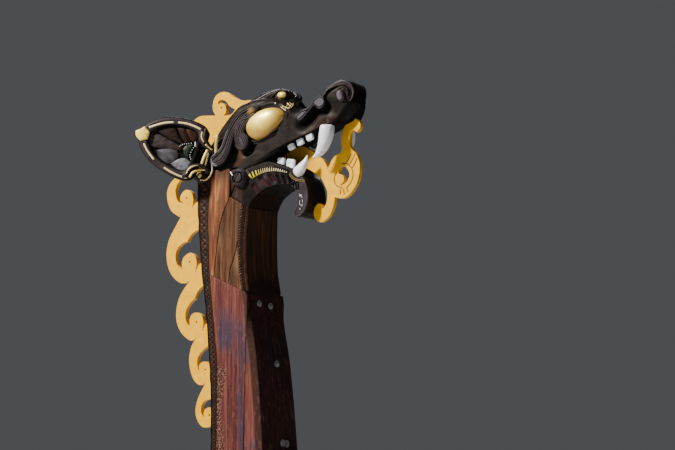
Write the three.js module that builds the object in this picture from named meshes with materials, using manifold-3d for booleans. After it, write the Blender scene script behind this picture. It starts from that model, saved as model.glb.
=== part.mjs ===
// Carved dragon-head stem of a Viking-style ship: head, neck post and fretwork boards.
// Millimetres. Origin at the centre of the post's flat foot, +Z up, the dragon looks along +X.
// The two sides mirror in the plane y = 0; the right side is -Y.
import * as THREE from 'three';
import { mergeVertices } from 'three/addons/utils/BufferGeometryUtils.js';
import Module from 'manifold-3d';

const wasm = await Module();
wasm.setup();

// Driving dimensions
const GAP = 0.3;              // clearance left where one piece seats on another
const BOARD = 30;             // thickness of the fretwork boards
const BAND_DEEP = 12;         // rebate that takes the carved edge band
const BAND_PROUD = 3;         // how far the band stands out of the post
const NECK_TOP = 1880;        // top of the post's back timber, under the skull
const JAW_BACK = -80;         // rear face of the lower jaw
const CRANIUM = 165;          // half width of the head at the eyes
const SNOUT_START = 400;      // joint between skull and snout
const LOBE_ROOT = -125;       // inner side of the brow lobes before they are fitted to the skull
const SCARF = { x: -214, z: 1185, slope: -0.43 };       // joint of the neck timbers
const JAW_SEAT = { x: -100, z: 1705, slope: -0.546 };   // joint between neck and lower jaw
const ROUND = 28;             // facets of a full circle

// Colours: name, colour, roughness, metalness
const FINISHES = {
  carving: ['#2f2723', 0.55, 0],
  upperTimber: ['#a5623a', 0.6, 0],
  lowerTimber: ['#8a3f3c', 0.6, 0],
  goldPaint: ['#f0bd55', 0.45, 0],
  gilt: ['#d9b25e', 0.3, 0.6],
  ivory: ['#f2f3f5', 0.35, 0],
  yellow: ['#ddd04a', 0.5, 0],
};

// Neck profile by height. band is the width of the carved band on the side.
const NECK = [
  { z: 0, back: -212, front: 212, face: 186, side: 200, bevel: 26, band: 40 },
  { z: 380, back: -215, front: 180, face: 179, side: 197, bevel: 26, band: 52 },
  { z: 640, back: -232, front: 150, face: 175, side: 195, bevel: 24, band: 56 },
  { z: 860, back: -250, front: 112, face: 175, side: 195, bevel: 22, band: 56 },
  { z: 1063, back: -272, front: 88, face: 174, side: 195, bevel: 20, band: 56 },
  { z: 1210, back: -298, front: 62, face: 168, side: 192, bevel: 40, band: 58 },
  { z: 1400, back: -320, front: 51, face: 159, side: 189, bevel: 50, band: 74 },
  { z: 1580, back: -340, front: 60, face: 146, side: 184, bevel: 50, band: 112 },
  { z: 1705, back: -347, front: 75, face: 140, side: 180, bevel: 50, band: 145 },
  { z: 1880, back: -348, front: 90, face: 138, side: 178, bevel: 50, band: 160 },
];
// Seams between the back and the front timbers of the neck: z, x
const LOWER_SEAM = [[0, 60], [380, 64], [640, 72], [1063, 78]];
const UPPER_SEAM = [[1185, -217], [1321, -193], [1471, -169], [1598, -120], [1694, JAW_BACK]];

// Head sections along x: x, half width, bottom, top of the straight side, crown
const SKULL = [
  [-348, 130, 1880, 1900, 1985], [-300, 158, 1880, 1935, 2070], [-232, 165, 1880, 1995, 2150],
  [-165, 165, 1880, 2080, 2230], [-100, 165, 1880, 2165, 2280], [-40, 165, 1880, 2225, 2320],
  [60, 165, 1880, 2262, 2340], [88, 165, 1880, 2265, 2342], [94, 165, 1906, 2266, 2343],
  [150, 165, 1927, 2270, 2345], [260, 160, 1968, 2262, 2330], [340, 145, 1996, 2235, 2300],
  [SNOUT_START, 128, 2013, 2205, 2265],
];
const SNOUT = [
  [SNOUT_START + GAP, 128, 2013, 2190, 2262], [460, 118, 2030, 2185, 2258], [520, 110, 2047, 2230, 2312],
  [584, 104, 2064, 2280, 2362], [640, 100, 2071, 2305, 2392], [697, 97, 2078, 2320, 2402],
  [744, 95, 2100, 2315, 2397], [790, 88, 2126, 2290, 2374], [825, 72, 2165, 2270, 2335],
  [852, 40, 2205, 2240, 2285],
];
const JAW = [
  [JAW_BACK + GAP, 165, 1694, 1870, 1879.7], [83, 162, 1605, 1870, 1879.7], [98, 158, 1645, 1870, 1879.7],
  [150, 150, 1703, 1890, 1907], [210, 140, 1738, 1888, 1905], [270, 128, 1748, 1880, 1897],
  [340, 116, 1747, 1860, 1878], [425, 100, 1755, 1822, 1842],
];
const MASK = [
  [-30, 60, 2250, 2290, 2322], [60, 95, 2250, 2310, 2353], [150, 115, 2250, 2320, 2377],
  [230, 120, 2250, 2320, 2388], [300, 112, 2250, 2310, 2380], [353, 98, 2245, 2280, 2334],
  [398, 85, 2235, 2250, 2272],
];

// Fretwork and carved strokes: x, z, half width along a tapering arm. The last row is its round end.
const MANE = [
  [[-340, 1938, 40], [-480, 1946, 40], [-590, 1925, 32], [-668, 1875, 24], [-712, 1820, 36], [-714, 1758, 43],
    [-678, 1692, 50], [-622, 1666, 46], [-582, 1744, 54]],
  [[-325, 1605, 78], [-450, 1602, 75], [-545, 1575, 70], [-612, 1528, 66], [-678, 1450, 55], [-714, 1368, 41],
    [-698, 1290, 41], [-652, 1236, 44], [-600, 1216, 46], [-551, 1311, 60]],
  [[-285, 1218, 66], [-420, 1215, 66], [-490, 1175, 62], [-540, 1120, 56], [-594, 1050, 50], [-620, 984, 42],
    [-619, 920, 39], [-594, 868, 40], [-552, 835, 46], [-487, 905, 60]],
  [[-235, 825, 66], [-370, 822, 66], [-430, 785, 58], [-477, 732, 49], [-504, 680, 41], [-510, 622, 34],
    [-494, 572, 36], [-462, 534, 42], [-409, 585, 54]],
  [[-208, 470, 58], [-325, 466, 58], [-386, 436, 48], [-428, 394, 38], [-458, 345, 28], [-463, 305, 25],
    [-449, 266, 27], [-420, 243, 33], [-369, 286, 49]],
];
const CREST_ARM = [[10, 2330, 40], [-57, 2316, 40], [-105, 2320, 38], [-160, 2340, 36], [-208, 2368, 34],
  [-250, 2398, 29], [-290, 2408, 27], [-325, 2388, 24], [-340, 2352, 23], [-332, 2310, 30], [-283, 2318, 40]];
const CREST_BODY = [[-548, 2225], [-527, 2263], [-500, 2279], [-461, 2290], [-400, 2284], [-337, 2277],
  [-276, 2270], [-203, 2272], [-150, 2310], [-20, 2330], [-20, 2240], [-250, 2020], [-335, 2012], [-352, 2052],
  [-430, 2150]];
const TONGUE = [[165, 1925, 24], [255, 1938, 42], [345, 1938, 50], [425, 1905, 48], [495, 1872, 50],
  [548, 1832, 47], [586, 1785, 44], [612, 1740, 42], [690, 1766, 60]];
const TONGUE_DISC = { x: 715, z: 1790, rx: 121, rz: 148 };
const TONGUE_HOOK = [[738, 1930, 46], [729, 1975, 33], [727, 2018, 31], [734, 2060, 33], [757, 2092, 37],
  [786, 2106, 36], [812, 2088, 27]];
const TONGUE_CURL = [[625, 1715, 36], [613, 1660, 30], [605, 1612, 28], [586, 1572, 32], [538, 1560, 55]];
const TONGUE_HOLE = [[676, 1726], [704, 1746], [709, 1772], [692, 1788], [674, 1800], [676, 1827], [690, 1845],
  [718, 1843], [744, 1821], [757, 1793], [752, 1767], [733, 1741], [700, 1727]];
const CHIN = [[395, 1770, 48], [432, 1735, 44], [452, 1680, 38], [446, 1625, 32], [404, 1572, 29]];
const OUTER_LOBE = [[140, 2252, 18], [90, 2248, 24], [35, 2228, 36], [-22, 2185, 42], [-64, 2115, 46],
  [-102, 2045, 46], [-134, 1990, 48], [-163, 1965, 50]];
const INNER_LOBE = [[140, 2212, 14], [88, 2193, 22], [36, 2150, 32], [10, 2100, 38], [38, 2042, 44]];
const SNOUT_STRAP = [[438, 2186, 14], [468, 2176, 20], [500, 2190, 23], [534, 2212, 26], [562, 2232, 34],
  [591, 2253, 43]];
const COMB = [[66, 1822, 19], [110, 1842, 16], [163, 1852, 13], [215, 1856, 12], [268, 1853, 12],
  [320, 1840, 10], [360, 1822, 7]];

// Fangs: x, y, z, radius from root to tip
const UPPER_FANG = [[633, -92, 2110, 50], [628, -94, 2050, 54], [617, -95, 1995, 50], [594, -95, 1945, 37],
  [560, -94, 1910, 20], [528, -93, 1893, 4]];
const LOWER_FANG = [[408, -90, 1790, 36], [430, -92, 1830, 36], [458, -93, 1868, 27], [480, -93, 1898, 14],
  [492, -93, 1918, 4]];
// Teeth: x, free end, root, all at the same distance from the middle plane
const UPPER_TEETH = [[362, 1958, 2020], [436, 1974, 2040], [507, 2004, 2060]];
const LOWER_TEETH = [[286, 1930, 1860], [364, 1909, 1840]];
const TOOTH = { width: 33, y: -105, thick: 18 };

// Round bosses and domes
const EYE = { x: 200, z: 2148, long: 168, short: 86, tilt: 18, out: 212 };
const LID = 16;
const MASK_EYE = { x: 289, y: -98, z: 2338, long: 38, short: 24, tilt: -8 };
const NOSTRIL = { x: 760, z: 2290, r: 62, inner: -80, outer: -118 };
const HINGE = { x: -15, z: 1822, r: 58, outer: -202 };

// Ear plane: base point, tip point, and outlines given along and across the ear
const EAR_BASE = new THREE.Vector3(-200, -200, 1985);
const EAR_END = new THREE.Vector3(-655, -445, 2160);
const EAR_THICK = 60;
const EAR_FLOOR = 18;
const EAR_RIM = [[70, 120], [95, 152], [177, 166], [262, 163], [345, 146], [419, 114], [486, 55], [520, -10],
  [508, -70], [463, -127], [404, -171], [329, -203], [259, -220], [188, -231], [116, -226], [72, -180],
  [60, -40]];
const EAR_DISH = [[118, 100], [179, 113], [250, 114], [327, 101], [400, 64], [446, 10], [446, -46], [392, -105],
  [331, -138], [265, -160], [197, -175], [140, -168], [112, -60]];
const EAR_TIP = [[446, -24], [480, 36], [552, -8], [512, -72]];
const EAR_ROOT = { from: -75, to: 110, v: -35, long: 112, thick: 34 };
const EAR_RINGS = [[52, 62, 52], [58, -146, 54]];       // u, v, radius
const RING_THICK = 17;

const group = new THREE.Group();
const rad = THREE.MathUtils.degToRad;

// Linear reading of a table of [key, value] rows
function readTable(rows, key) {
  let i = 1;
  while (i < rows.length - 1 && key > rows[i][0]) i += 1;
  const [k0, v0] = rows[i - 1];
  const [k1, v1] = rows[i];
  const t = THREE.MathUtils.clamp((key - k0) / (k1 - k0), 0, 1);
  return v0 + (v1 - v0) * t;
}

const neckAt = (z, column) => readTable(NECK.map((row) => [row.z, row[column]]), z);
const onPlane = (plane, x) => plane.z + plane.slope * (x - plane.x);

// Closed body from equal rings of [x, y, z]; flat(p) gives the two coordinates for its end caps
function loft(rings, flat) {
  const n = rings[0].length;
  const index = [];
  for (let k = 0; k < rings.length - 1; k += 1) {
    for (let i = 0; i < n; i += 1) {
      const a = k * n + i;
      const b = k * n + ((i + 1) % n);
      const mirrored = 2 * i > n - 2;      // the second half of a ring mirrors the first
      index.push(...(mirrored ? [a, b, a + n, b, b + n, a + n] : [a, b, b + n, a, b + n, a + n]));
    }
  }
  const cap = (ring, offset, forward) => {
    const outline = ring.map((p) => new THREE.Vector2(...flat(p)));
    const turn = Math.sign(THREE.ShapeUtils.area(outline));
    for (const [a, b, c] of THREE.ShapeUtils.triangulateShape(outline, [])) {
      const along = Math.sign(THREE.ShapeUtils.area([outline[a], outline[b], outline[c]])) === turn;
      index.push(...(along === forward ? [a, b, c] : [a, c, b]).map((i) => i + offset));
    }
  };
  cap(rings[0], 0, false);
  cap(rings[rings.length - 1], (rings.length - 1) * n, true);
  const geometry = new THREE.BufferGeometry();
  geometry.setAttribute('position', new THREE.Float32BufferAttribute(rings.flat(2), 3));
  geometry.setIndex(index);
  return volume(geometry) < 0 ? turnedOver(geometry) : geometry;
}

function volume(geometry) {
  const p = geometry.attributes.position;
  const at = (i) => new THREE.Vector3().fromBufferAttribute(p, i);
  let sum = 0;
  for (let i = 0; i < geometry.index.count; i += 3) {
    const [a, b, c] = [0, 1, 2].map((k) => at(geometry.index.getX(i + k)));
    sum += a.dot(b.cross(c));
  }
  return sum / 6;
}

function turnedOver(geometry) {
  const index = Array.from(geometry.index.array);
  for (let i = 0; i < index.length; i += 3) [index[i], index[i + 1]] = [index[i + 1], index[i]];
  geometry.setIndex(index);
  return geometry;
}

function toSolid(geometry) {
  const bare = new THREE.BufferGeometry();
  bare.setAttribute('position', geometry.attributes.position);
  if (geometry.index) bare.setIndex(geometry.index);
  const merged = mergeVertices(bare, 1e-3);
  return new wasm.Manifold(new wasm.Mesh({
    numProp: 3,
    vertProperties: new Float32Array(merged.attributes.position.array),
    triVerts: new Uint32Array(merged.index.array),
  }));
}

function toGeometry(solid) {
  const mesh = solid.getMesh();
  const geometry = new THREE.BufferGeometry();
  geometry.setAttribute('position', new THREE.Float32BufferAttribute(mesh.vertProperties, 3));
  geometry.setIndex(Array.from(mesh.triVerts));
  return geometry;
}

// Adds a piece to the model. Sides other than the right one are its mirror in the middle plane.
function addMesh(name, geometry, finish) {
  const [color, roughness, metalness] = FINISHES[finish];
  const mesh = new THREE.Mesh(geometry, new THREE.MeshStandardMaterial({ color, roughness, metalness }));
  mesh.name = name;
  group.add(mesh);
}

function addPair(name, solid, finish) {
  const right = toGeometry(solid);
  addMesh(`${name}_right`, right, finish);
  addMesh(`${name}_left`, turnedOver(right.clone().scale(1, -1, 1)), finish);
}

// Outline in the x-z plane carried from y0 to y1
function slab(points, y0, y1, holes = []) {
  const shape = new THREE.Shape(points.map(([x, z]) => new THREE.Vector2(x, z)));
  shape.holes = holes.map((hole) => new THREE.Path(hole.map(([x, z]) => new THREE.Vector2(x, z))));
  const geometry = new THREE.ExtrudeGeometry(shape, { depth: y1 - y0, bevelEnabled: false });
  return toSolid(geometry.rotateX(Math.PI / 2).translate(0, y1, 0));
}

function ovalPoints(x, z, rx, rz, tilt = 0, facets = ROUND) {
  const points = [];
  for (let i = 0; i < facets; i += 1) {
    const a = (2 * Math.PI * i) / facets;
    const [u, v] = [rx * Math.cos(a), rz * Math.sin(a)];
    points.push([x + u * Math.cos(rad(tilt)) - v * Math.sin(rad(tilt)),
      z + u * Math.sin(rad(tilt)) + v * Math.cos(rad(tilt))]);
  }
  return points;
}

// Tapering arm through rows of x, z, half width, with a round end at the last row
function stroke(rows, y0, y1, grow = 0) {
  const end = rows[rows.length - 1];
  const curve = new THREE.CatmullRomCurve3(rows.map(([x, z, w]) => new THREE.Vector3(x, z, w)));
  const samples = curve.getPoints((rows.length - 1) * 2);
  const left = [];
  const right = [];
  samples.forEach((p, i) => {
    const before = samples[Math.max(i - 1, 0)];
    const after = samples[Math.min(i + 1, samples.length - 1)];
    const along = new THREE.Vector2(after.x - before.x, after.y - before.y).normalize();
    const w = p.z + grow;
    left.push([p.x - along.y * w, p.y + along.x * w]);
    right.push([p.x + along.y * w, p.y - along.x * w]);
  });
  const disc = (x, z, w) => {
    const r = (w + grow) / Math.cos(Math.PI / ROUND) + 0.2;      // takes in the corners of the arm
    return slab(ovalPoints(x, z, r, r, 5), y0 - grow, y1 + grow);
  };
  let solid = disc(...end);
  for (let i = 0; i < samples.length - 1; i += 1) {
    const quad = [left[i], left[i + 1], right[i + 1], right[i]];
    const [p, q] = [samples[i], samples[i + 1]];
    // Where a bend is tighter than the arm is wide, discs fill it
    solid = solid.add(convex(quad) ? slab(quad, y0 - grow, y1 + grow) : disc(p.x, p.y, p.z));
    if (!convex(quad)) solid = solid.add(disc(q.x, q.y, q.z));
  }
  return solid;
}

// A four-sided outline that doesn't cross itself
function convex(quad) {
  const turns = quad.map((p, i) => {
    const [a, b] = [quad[(i + 1) % 4], quad[(i + 2) % 4]];
    return (a[0] - p[0]) * (b[1] - a[1]) - (a[1] - p[1]) * (b[0] - a[0]);
  });
  return turns.every((t) => t > 0) || turns.every((t) => t < 0);
}

// Ring of a head section: flat bottom, straight sides, domed crown
function headRing([x, half, bottom, side, crown], grow) {
  const dome = 6;
  const ring = [[x, -half - grow, bottom - grow]];
  for (let i = 0; i <= 2 * dome; i += 1) {
    const a = Math.PI - (Math.PI * i) / (2 * dome);
    const c = Math.cos(a);
    const y = Math.sign(c) * Math.abs(c) ** 0.8 * (half + grow);
    ring.push([x, y, side + (crown + grow - side) * Math.sin(a) ** 0.8]);
  }
  ring.push([x, half + grow, bottom - grow]);
  return ring;
}

function headLoft(rows, grow = 0) {
  const rings = rows.map((row) => headRing(row, grow));
  rings[0].forEach((p) => { p[0] -= grow; });
  rings[rings.length - 1].forEach((p) => { p[0] += grow; });
  return toSolid(loft(rings, (p) => [p[1], p[2]]));
}

// Neck timber between two heights: corners(z) gives its plan outline
function timber(corners, bottom, top, seam = []) {
  const heights = [...new Set([...NECK.map((row) => row.z), ...seam.map((row) => row[0])])];
  heights.sort((p, q) => p - q);
  const levels = [bottom, ...heights.filter((z) => z > bottom + 1 && z < top - 1), top];
  const rings = levels.map((z) => corners(z).map(([x, y]) => [x, y, z]));
  return toSolid(loft(rings, (p) => [p[0], p[1]]));
}

// Everything under a slanted plane, or over it
function beyond(plane, side) {
  const [x0, x1, far] = [-500, 500, side * 3000];
  const outline = [[x0, onPlane(plane, x0)], [x1, onPlane(plane, x1)], [x1, far], [x0, far]];
  return slab(side > 0 ? outline : outline.reverse(), -300, 300);
}

const shifted = (plane, dz) => ({ ...plane, z: plane.z + dz });

// Where a seam between back and front timbers lies at a height, kept off the band and the front face
function seamAt(seam, z) {
  const edge = neckAt(z, 'back') + neckAt(z, 'band') + GAP;
  return Math.min(Math.max(readTable(seam, z), edge + 4), neckAt(z, 'front') - 10);
}

// Plan outline of a back timber, with the rebates for the carved bands
function backCorners(seam) {
  return (z) => {
    const [b, s] = [neckAt(z, 'back'), neckAt(z, 'side')];
    const edge = b + neckAt(z, 'band') + GAP;
    const x = seamAt(seam, z) - GAP / 2;
    const half = [[b, -(s - BAND_DEEP)], [edge, -(s - BAND_DEEP)], [edge, -s], [x, -s]];
    return [...half, ...half.slice().reverse().map(([px, py]) => [px, -py])];
  };
}

// Plan outline of a front timber, with bevelled front corners
function frontCorners(seam) {
  return (z) => {
    const [f, s, w] = [neckAt(z, 'front'), neckAt(z, 'side'), neckAt(z, 'face')];
    const x = seamAt(seam, z) + GAP / 2;
    const bevel = Math.min(neckAt(z, 'bevel'), f - x - 4);
    const half = [[x, -s], [f - bevel, -s], [f, -w]];
    return [...half, ...half.slice().reverse().map(([px, py]) => [px, -py])];
  };
}

function bandCorners(z) {
  const [b, s] = [neckAt(z, 'back'), neckAt(z, 'side')];
  const edge = b + neckAt(z, 'band');
  const [deep, proud] = [s - BAND_DEEP + GAP, s + BAND_PROUD];
  return [[b, -deep], [b, -proud], [edge, -proud], [edge, -deep]];
}

// Curved horn: rings across a path in the x-z plane, flattened sideways
function horn(rows, flatten) {
  const rings = rows.map(([x, y, z, r], i) => {
    const before = rows[Math.max(i - 1, 0)];
    const after = rows[Math.min(i + 1, rows.length - 1)];
    const along = new THREE.Vector2(after[0] - before[0], after[2] - before[2]).normalize();
    const points = [];
    for (let k = 0; k < 14; k += 1) {
      const a = (2 * Math.PI * k) / 14;
      const u = r * Math.cos(a);
      points.push([x - along.y * u, y + flatten * r * Math.sin(a), z + along.x * u]);
    }
    return points;
  });
  const across = (p) => [p[0] + 0.3 * p[2], p[1]];
  return toSolid(loft(rings, across));
}

function dome(x, y, z, rx, ry, rz, tilt, facets) {
  const geometry = new THREE.SphereGeometry(1, facets, facets / 2).scale(rx, ry, rz).rotateY(-rad(tilt));
  return toSolid(geometry.translate(x, y, z));
}

// Neck
function buildNeck() {
  const overScarf = beyond(shifted(SCARF, -GAP / 2), 1);
  const underScarf = beyond(shifted(SCARF, GAP / 2), -1);
  const overJawSeat = beyond(shifted(JAW_SEAT, -GAP), 1);
  const [scarfLow, scarfHigh, bandTop] = [1000, 1260, 1800];
  const lower = (corners) => timber(corners(LOWER_SEAM), 0, scarfHigh, LOWER_SEAM).subtract(overScarf);
  const upper = (corners, top) => timber(corners(UPPER_SEAM), scarfLow, top, UPPER_SEAM).subtract(underScarf);
  addMesh('neck_lower_post', toGeometry(lower(backCorners)), 'lowerTimber');
  addMesh('neck_lower_front', toGeometry(lower(frontCorners)), 'lowerTimber');
  addMesh('neck_upper_back', toGeometry(upper(backCorners, NECK_TOP)), 'upperTimber');
  const front = upper(frontCorners, JAW_SEAT.z + 15).subtract(overJawSeat);
  addMesh('neck_upper_front', toGeometry(front), 'upperTimber');
  addPair('edge_band', timber(bandCorners, 0, bandTop, [...LOWER_SEAM, ...UPPER_SEAM]), 'carving');
}

// Fretwork boards in the middle plane
function buildBoards({ skullCut, maskCut, jawCut, chinCut, neckCut }) {
  const [y0, y1] = [-BOARD / 2, BOARD / 2];
  let above = null;
  MANE.forEach((rows, i) => {
    let scroll = stroke(rows, y0, y1).subtract(neckCut).subtract(skullCut);
    if (above) scroll = scroll.subtract(above);
    above = stroke(rows, y0, y1, GAP);
    addMesh(`mane_scroll_${i + 1}`, toGeometry(scroll), 'goldPaint');
  });
  const crest = slab(CREST_BODY, y0, y1).add(stroke(CREST_ARM, y0, y1));
  addMesh('crest_scroll', toGeometry(crest.subtract(skullCut).subtract(maskCut).subtract(neckCut)), 'goldPaint');
  const tongue = tongueBoard(0).subtract(slab(TONGUE_HOLE, y0 - 1, y1 + 1));
  addMesh('tongue_board', toGeometry(tongue.subtract(jawCut).subtract(chinCut).subtract(skullCut)), 'goldPaint');
}

// Outline of the tongue board without its hole
function tongueBoard(grow) {
  const { x, z, rx, rz } = TONGUE_DISC;
  const [y0, y1] = [-BOARD / 2, BOARD / 2];
  const disc = slab(ovalPoints(x, z, rx + grow, rz + grow), y0 - grow, y1 + grow);
  return [TONGUE, TONGUE_HOOK, TONGUE_CURL].reduce((solid, arm) => solid.add(stroke(arm, y0, y1, grow)), disc);
}

// Rows of teeth on one rail
function teeth(rows) {
  const { width, y, thick } = TOOTH;
  const [first, last] = [rows[0], rows[rows.length - 1]];
  const up = Math.sign(first[2] - first[1]);
  const rail = [[first[0] - width, first[2] - 30 * up], [last[0] + width, last[2] - 30 * up],
    [last[0] + width, last[2]], [first[0] - width, first[2]]];
  let solid = slab(up > 0 ? rail : rail.reverse(), y + thick - 8, y + thick + 4);
  for (const [x, free, root] of rows) {
    const tooth = new THREE.CylinderGeometry(width, width - 3, Math.abs(root - free), 12, 1);
    tooth.rotateX(up * Math.PI / 2).scale(1, thick / width, 1).translate(x, y, (root + free) / 2);
    solid = solid.add(toSolid(tooth));
  }
  return solid;
}

// Outline moved outwards from its middle
function spread(points, by) {
  const middle = [0, 1].map((k) => points.reduce((sum, p) => sum + p[k], 0) / points.length);
  return points.map((p) => {
    const out = new THREE.Vector2(p[0] - middle[0], p[1] - middle[1]).setLength(by);
    return [p[0] + out.x, p[1] + out.y];
  });
}

// Ear in its own plane: u along it, v across it, w through it
function earPiece(points, w0, w1) {
  const shape = new THREE.Shape(points.map(([u, v]) => new THREE.Vector2(u, v)));
  return earPlaced(new THREE.ExtrudeGeometry(shape, { depth: w1 - w0, bevelEnabled: false }).translate(0, 0, w0));
}

function earPlaced(geometry) {
  const along = EAR_END.clone().sub(EAR_BASE).normalize();
  const across = new THREE.Vector3(0, 0, 1).addScaledVector(along, -along.z).normalize();
  const through = along.clone().cross(across);
  const placing = new THREE.Matrix4().makeBasis(along, across, through).setPosition(EAR_BASE);
  return toSolid(geometry.applyMatrix4(placing));
}

function buildEars(skullCut, lobeCut, bandCut) {
  const [front, back] = [-EAR_THICK / 2, EAR_THICK / 2];
  const dish = earPiece(EAR_DISH, front - 1, back - EAR_FLOOR);
  const tipCut = earPiece(spread(EAR_TIP, 2 * GAP), front - 9, back + 9);
  const ear = earPiece(EAR_RIM, front, back).subtract(dish).subtract(tipCut);
  addPair('ear', ear, 'carving');
  addPair('ear_tip', earPiece(EAR_TIP, front - 4, back + 4), 'gilt');
  const { from, to, v, long, thick } = EAR_ROOT;
  const root = new THREE.CylinderGeometry(1, 0.75, to - from, 14, 1);
  root.rotateZ(-Math.PI / 2).scale(1, long, thick).translate((from + to) / 2, v, 0);
  let knot = earPlaced(root);
  for (const [u, across, r] of EAR_RINGS) {
    const ring = new THREE.TorusGeometry(r, RING_THICK, 6, 16).translate(u, across, front + 4);
    knot = knot.add(earPlaced(ring));
  }
  const grownEar = earPiece(spread(EAR_RIM, 2 * GAP), front - GAP, back + GAP);
  addPair('ear_knot', knot.subtract(grownEar).subtract(skullCut).subtract(lobeCut).subtract(bandCut), 'carving');
}

// Head
function buildHead() {
  const skullCut = headLoft(SKULL, GAP);
  const snoutCut = headLoft(SNOUT, GAP);
  const jawCut = headLoft(JAW, GAP);
  const maskCut = headLoft(MASK, GAP);
  addMesh('skull', toGeometry(headLoft(SKULL)), 'carving');
  addMesh('snout', toGeometry(headLoft(SNOUT).subtract(tongueBoard(GAP))), 'carving');
  addMesh('lower_jaw', toGeometry(headLoft(JAW)), 'carving');
  addMesh('brow_mask', toGeometry(headLoft(MASK).subtract(skullCut)), 'carving');
  const chinWidth = 100;
  const chinCut = stroke(CHIN, -chinWidth, chinWidth, GAP);
  addMesh('chin_scroll', toGeometry(stroke(CHIN, -chinWidth, chinWidth).subtract(jawCut)), 'carving');

  const proud = CRANIUM + 42;
  const inner = stroke(INNER_LOBE, -proud - 4, LOBE_ROOT);
  const innerCut = stroke(INNER_LOBE, -proud - 4, LOBE_ROOT, GAP);
  const outerCut = stroke(OUTER_LOBE, -proud, LOBE_ROOT, GAP);
  addPair('brow_inner', inner.subtract(skullCut), 'carving');
  addPair('brow_outer', stroke(OUTER_LOBE, -proud, LOBE_ROOT).subtract(skullCut).subtract(innerCut), 'carving');

  const { x, z, long, short, tilt, out } = EYE;
  const sunk = CRANIUM - 15;
  const eye = dome(x, -sunk, z, long, out - sunk, short, tilt, 20);
  addPair('eye', eye.subtract(skullCut).subtract(innerCut).subtract(outerCut), 'gilt');
  const lid = slab(ovalPoints(x, z, long + LID, short + LID, tilt), -CRANIUM - 22, -CRANIUM + 20,
    [ovalPoints(x, z, long + 1, short + 1, tilt)]);
  addPair('eyelid', lid.subtract(skullCut).subtract(innerCut).subtract(outerCut), 'carving');

  const m = MASK_EYE;
  addPair('mask_eye', dome(m.x, m.y, m.z, m.long, 26, m.short, m.tilt, 12).subtract(maskCut).subtract(skullCut),
    'gilt');
  const n = NOSTRIL;
  addPair('nostril', slab(ovalPoints(n.x, n.z, n.r, n.r), n.outer, n.inner).subtract(snoutCut), 'carving');
  const strapOut = -138;
  addPair('snout_strap', stroke(SNOUT_STRAP, strapOut, -80).subtract(snoutCut).subtract(skullCut), 'carving');
  const combOut = -CRANIUM - 8;
  addPair('jaw_comb', stroke(COMB, combOut, -100).subtract(jawCut), 'yellow');
  const h = HINGE;
  addPair('jaw_hinge', slab(ovalPoints(h.x, h.z, h.r, h.r), h.outer, -CRANIUM - GAP), 'carving');

  addPair('upper_fang', horn(UPPER_FANG, 0.6).subtract(snoutCut), 'ivory');
  addPair('lower_fang', horn(LOWER_FANG, 0.8).subtract(jawCut).subtract(chinCut), 'ivory');
  addPair('upper_teeth', teeth(UPPER_TEETH).subtract(skullCut).subtract(snoutCut), 'ivory');
  const combCut = stroke(COMB, combOut, -100, GAP);
  addPair('lower_teeth', teeth(LOWER_TEETH).subtract(jawCut).subtract(combCut), 'ivory');

  const neckRings = NECK.map((row) => [[row.back - GAP, -200, row.z], [0, -200, row.z], [0, 200, row.z],
    [row.back - GAP, 200, row.z]]);
  const neckCut = toSolid(loft(neckRings, (p) => [p[0], p[1]]));
  buildBoards({ skullCut, maskCut, jawCut, chinCut, neckCut });
  buildEars(skullCut, outerCut, neckCut);
}

buildNeck();
buildHead();

export default group;
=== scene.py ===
# Looks of the carved dragon-head stem: timber, carving, paint, gilding, light and camera.
# Tables are in millimetres, and add_piece turns them to metres. +X is ahead, +Z is up, the right side is -Y.
import math

import bmesh
import bpy
import numpy as np
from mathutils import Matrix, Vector, geometry


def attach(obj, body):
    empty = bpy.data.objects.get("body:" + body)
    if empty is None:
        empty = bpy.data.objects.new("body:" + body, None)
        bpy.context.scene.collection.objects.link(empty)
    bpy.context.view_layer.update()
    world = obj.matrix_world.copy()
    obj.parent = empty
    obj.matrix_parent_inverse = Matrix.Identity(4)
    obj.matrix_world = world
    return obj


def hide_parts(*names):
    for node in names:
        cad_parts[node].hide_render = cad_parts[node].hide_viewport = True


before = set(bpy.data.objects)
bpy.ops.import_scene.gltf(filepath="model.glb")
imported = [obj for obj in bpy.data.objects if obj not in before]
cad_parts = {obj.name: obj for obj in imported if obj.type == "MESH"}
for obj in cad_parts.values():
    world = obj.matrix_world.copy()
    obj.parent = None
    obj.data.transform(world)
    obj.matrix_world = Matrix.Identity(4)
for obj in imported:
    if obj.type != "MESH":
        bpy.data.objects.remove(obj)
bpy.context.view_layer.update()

MM = 0.001
BOARD_HALF = 15.0        # half thickness of the fretwork boards
ENGRAVED_WIDE = 3.8      # width and depth of the lines engraved on them
ENGRAVED_DEEP = 4.0
NECK_TOP = 1880.0        # upper end of the neck
BAND_TOP = 1878.0        # upper end of the carved edge bands
BAND_SEAT = 12.0         # how far the band's seat lies inside the side face
SEAM = 0.3               # clearance between neighbouring timbers
JOINT_HALF = 168.0       # half width of the full middle of a timber's face in a joint
JOINT_FULL = 0.6         # how far that middle stands out into the seam
CRISP_EDGE = 40.0        # degrees: a sharper bend is shaded as an edge
ROUNDED_EDGE = 50.0      # degrees: a sharper bend of a board is rounded
SAME_POINT = 2e-6        # metres: points nearer than this are merged
NO_LENGTH = 1e-7         # metres: shorter edges are dropped

# Camera: the photograph's place and lens
CAMERA_PLACE = (7.3879377, -9.45612904, 0.06)
CAMERA_AHEAD = (-0.57582796, 0.80857037, 0.12097982)
CAMERA_LENS = 98.4615

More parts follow.
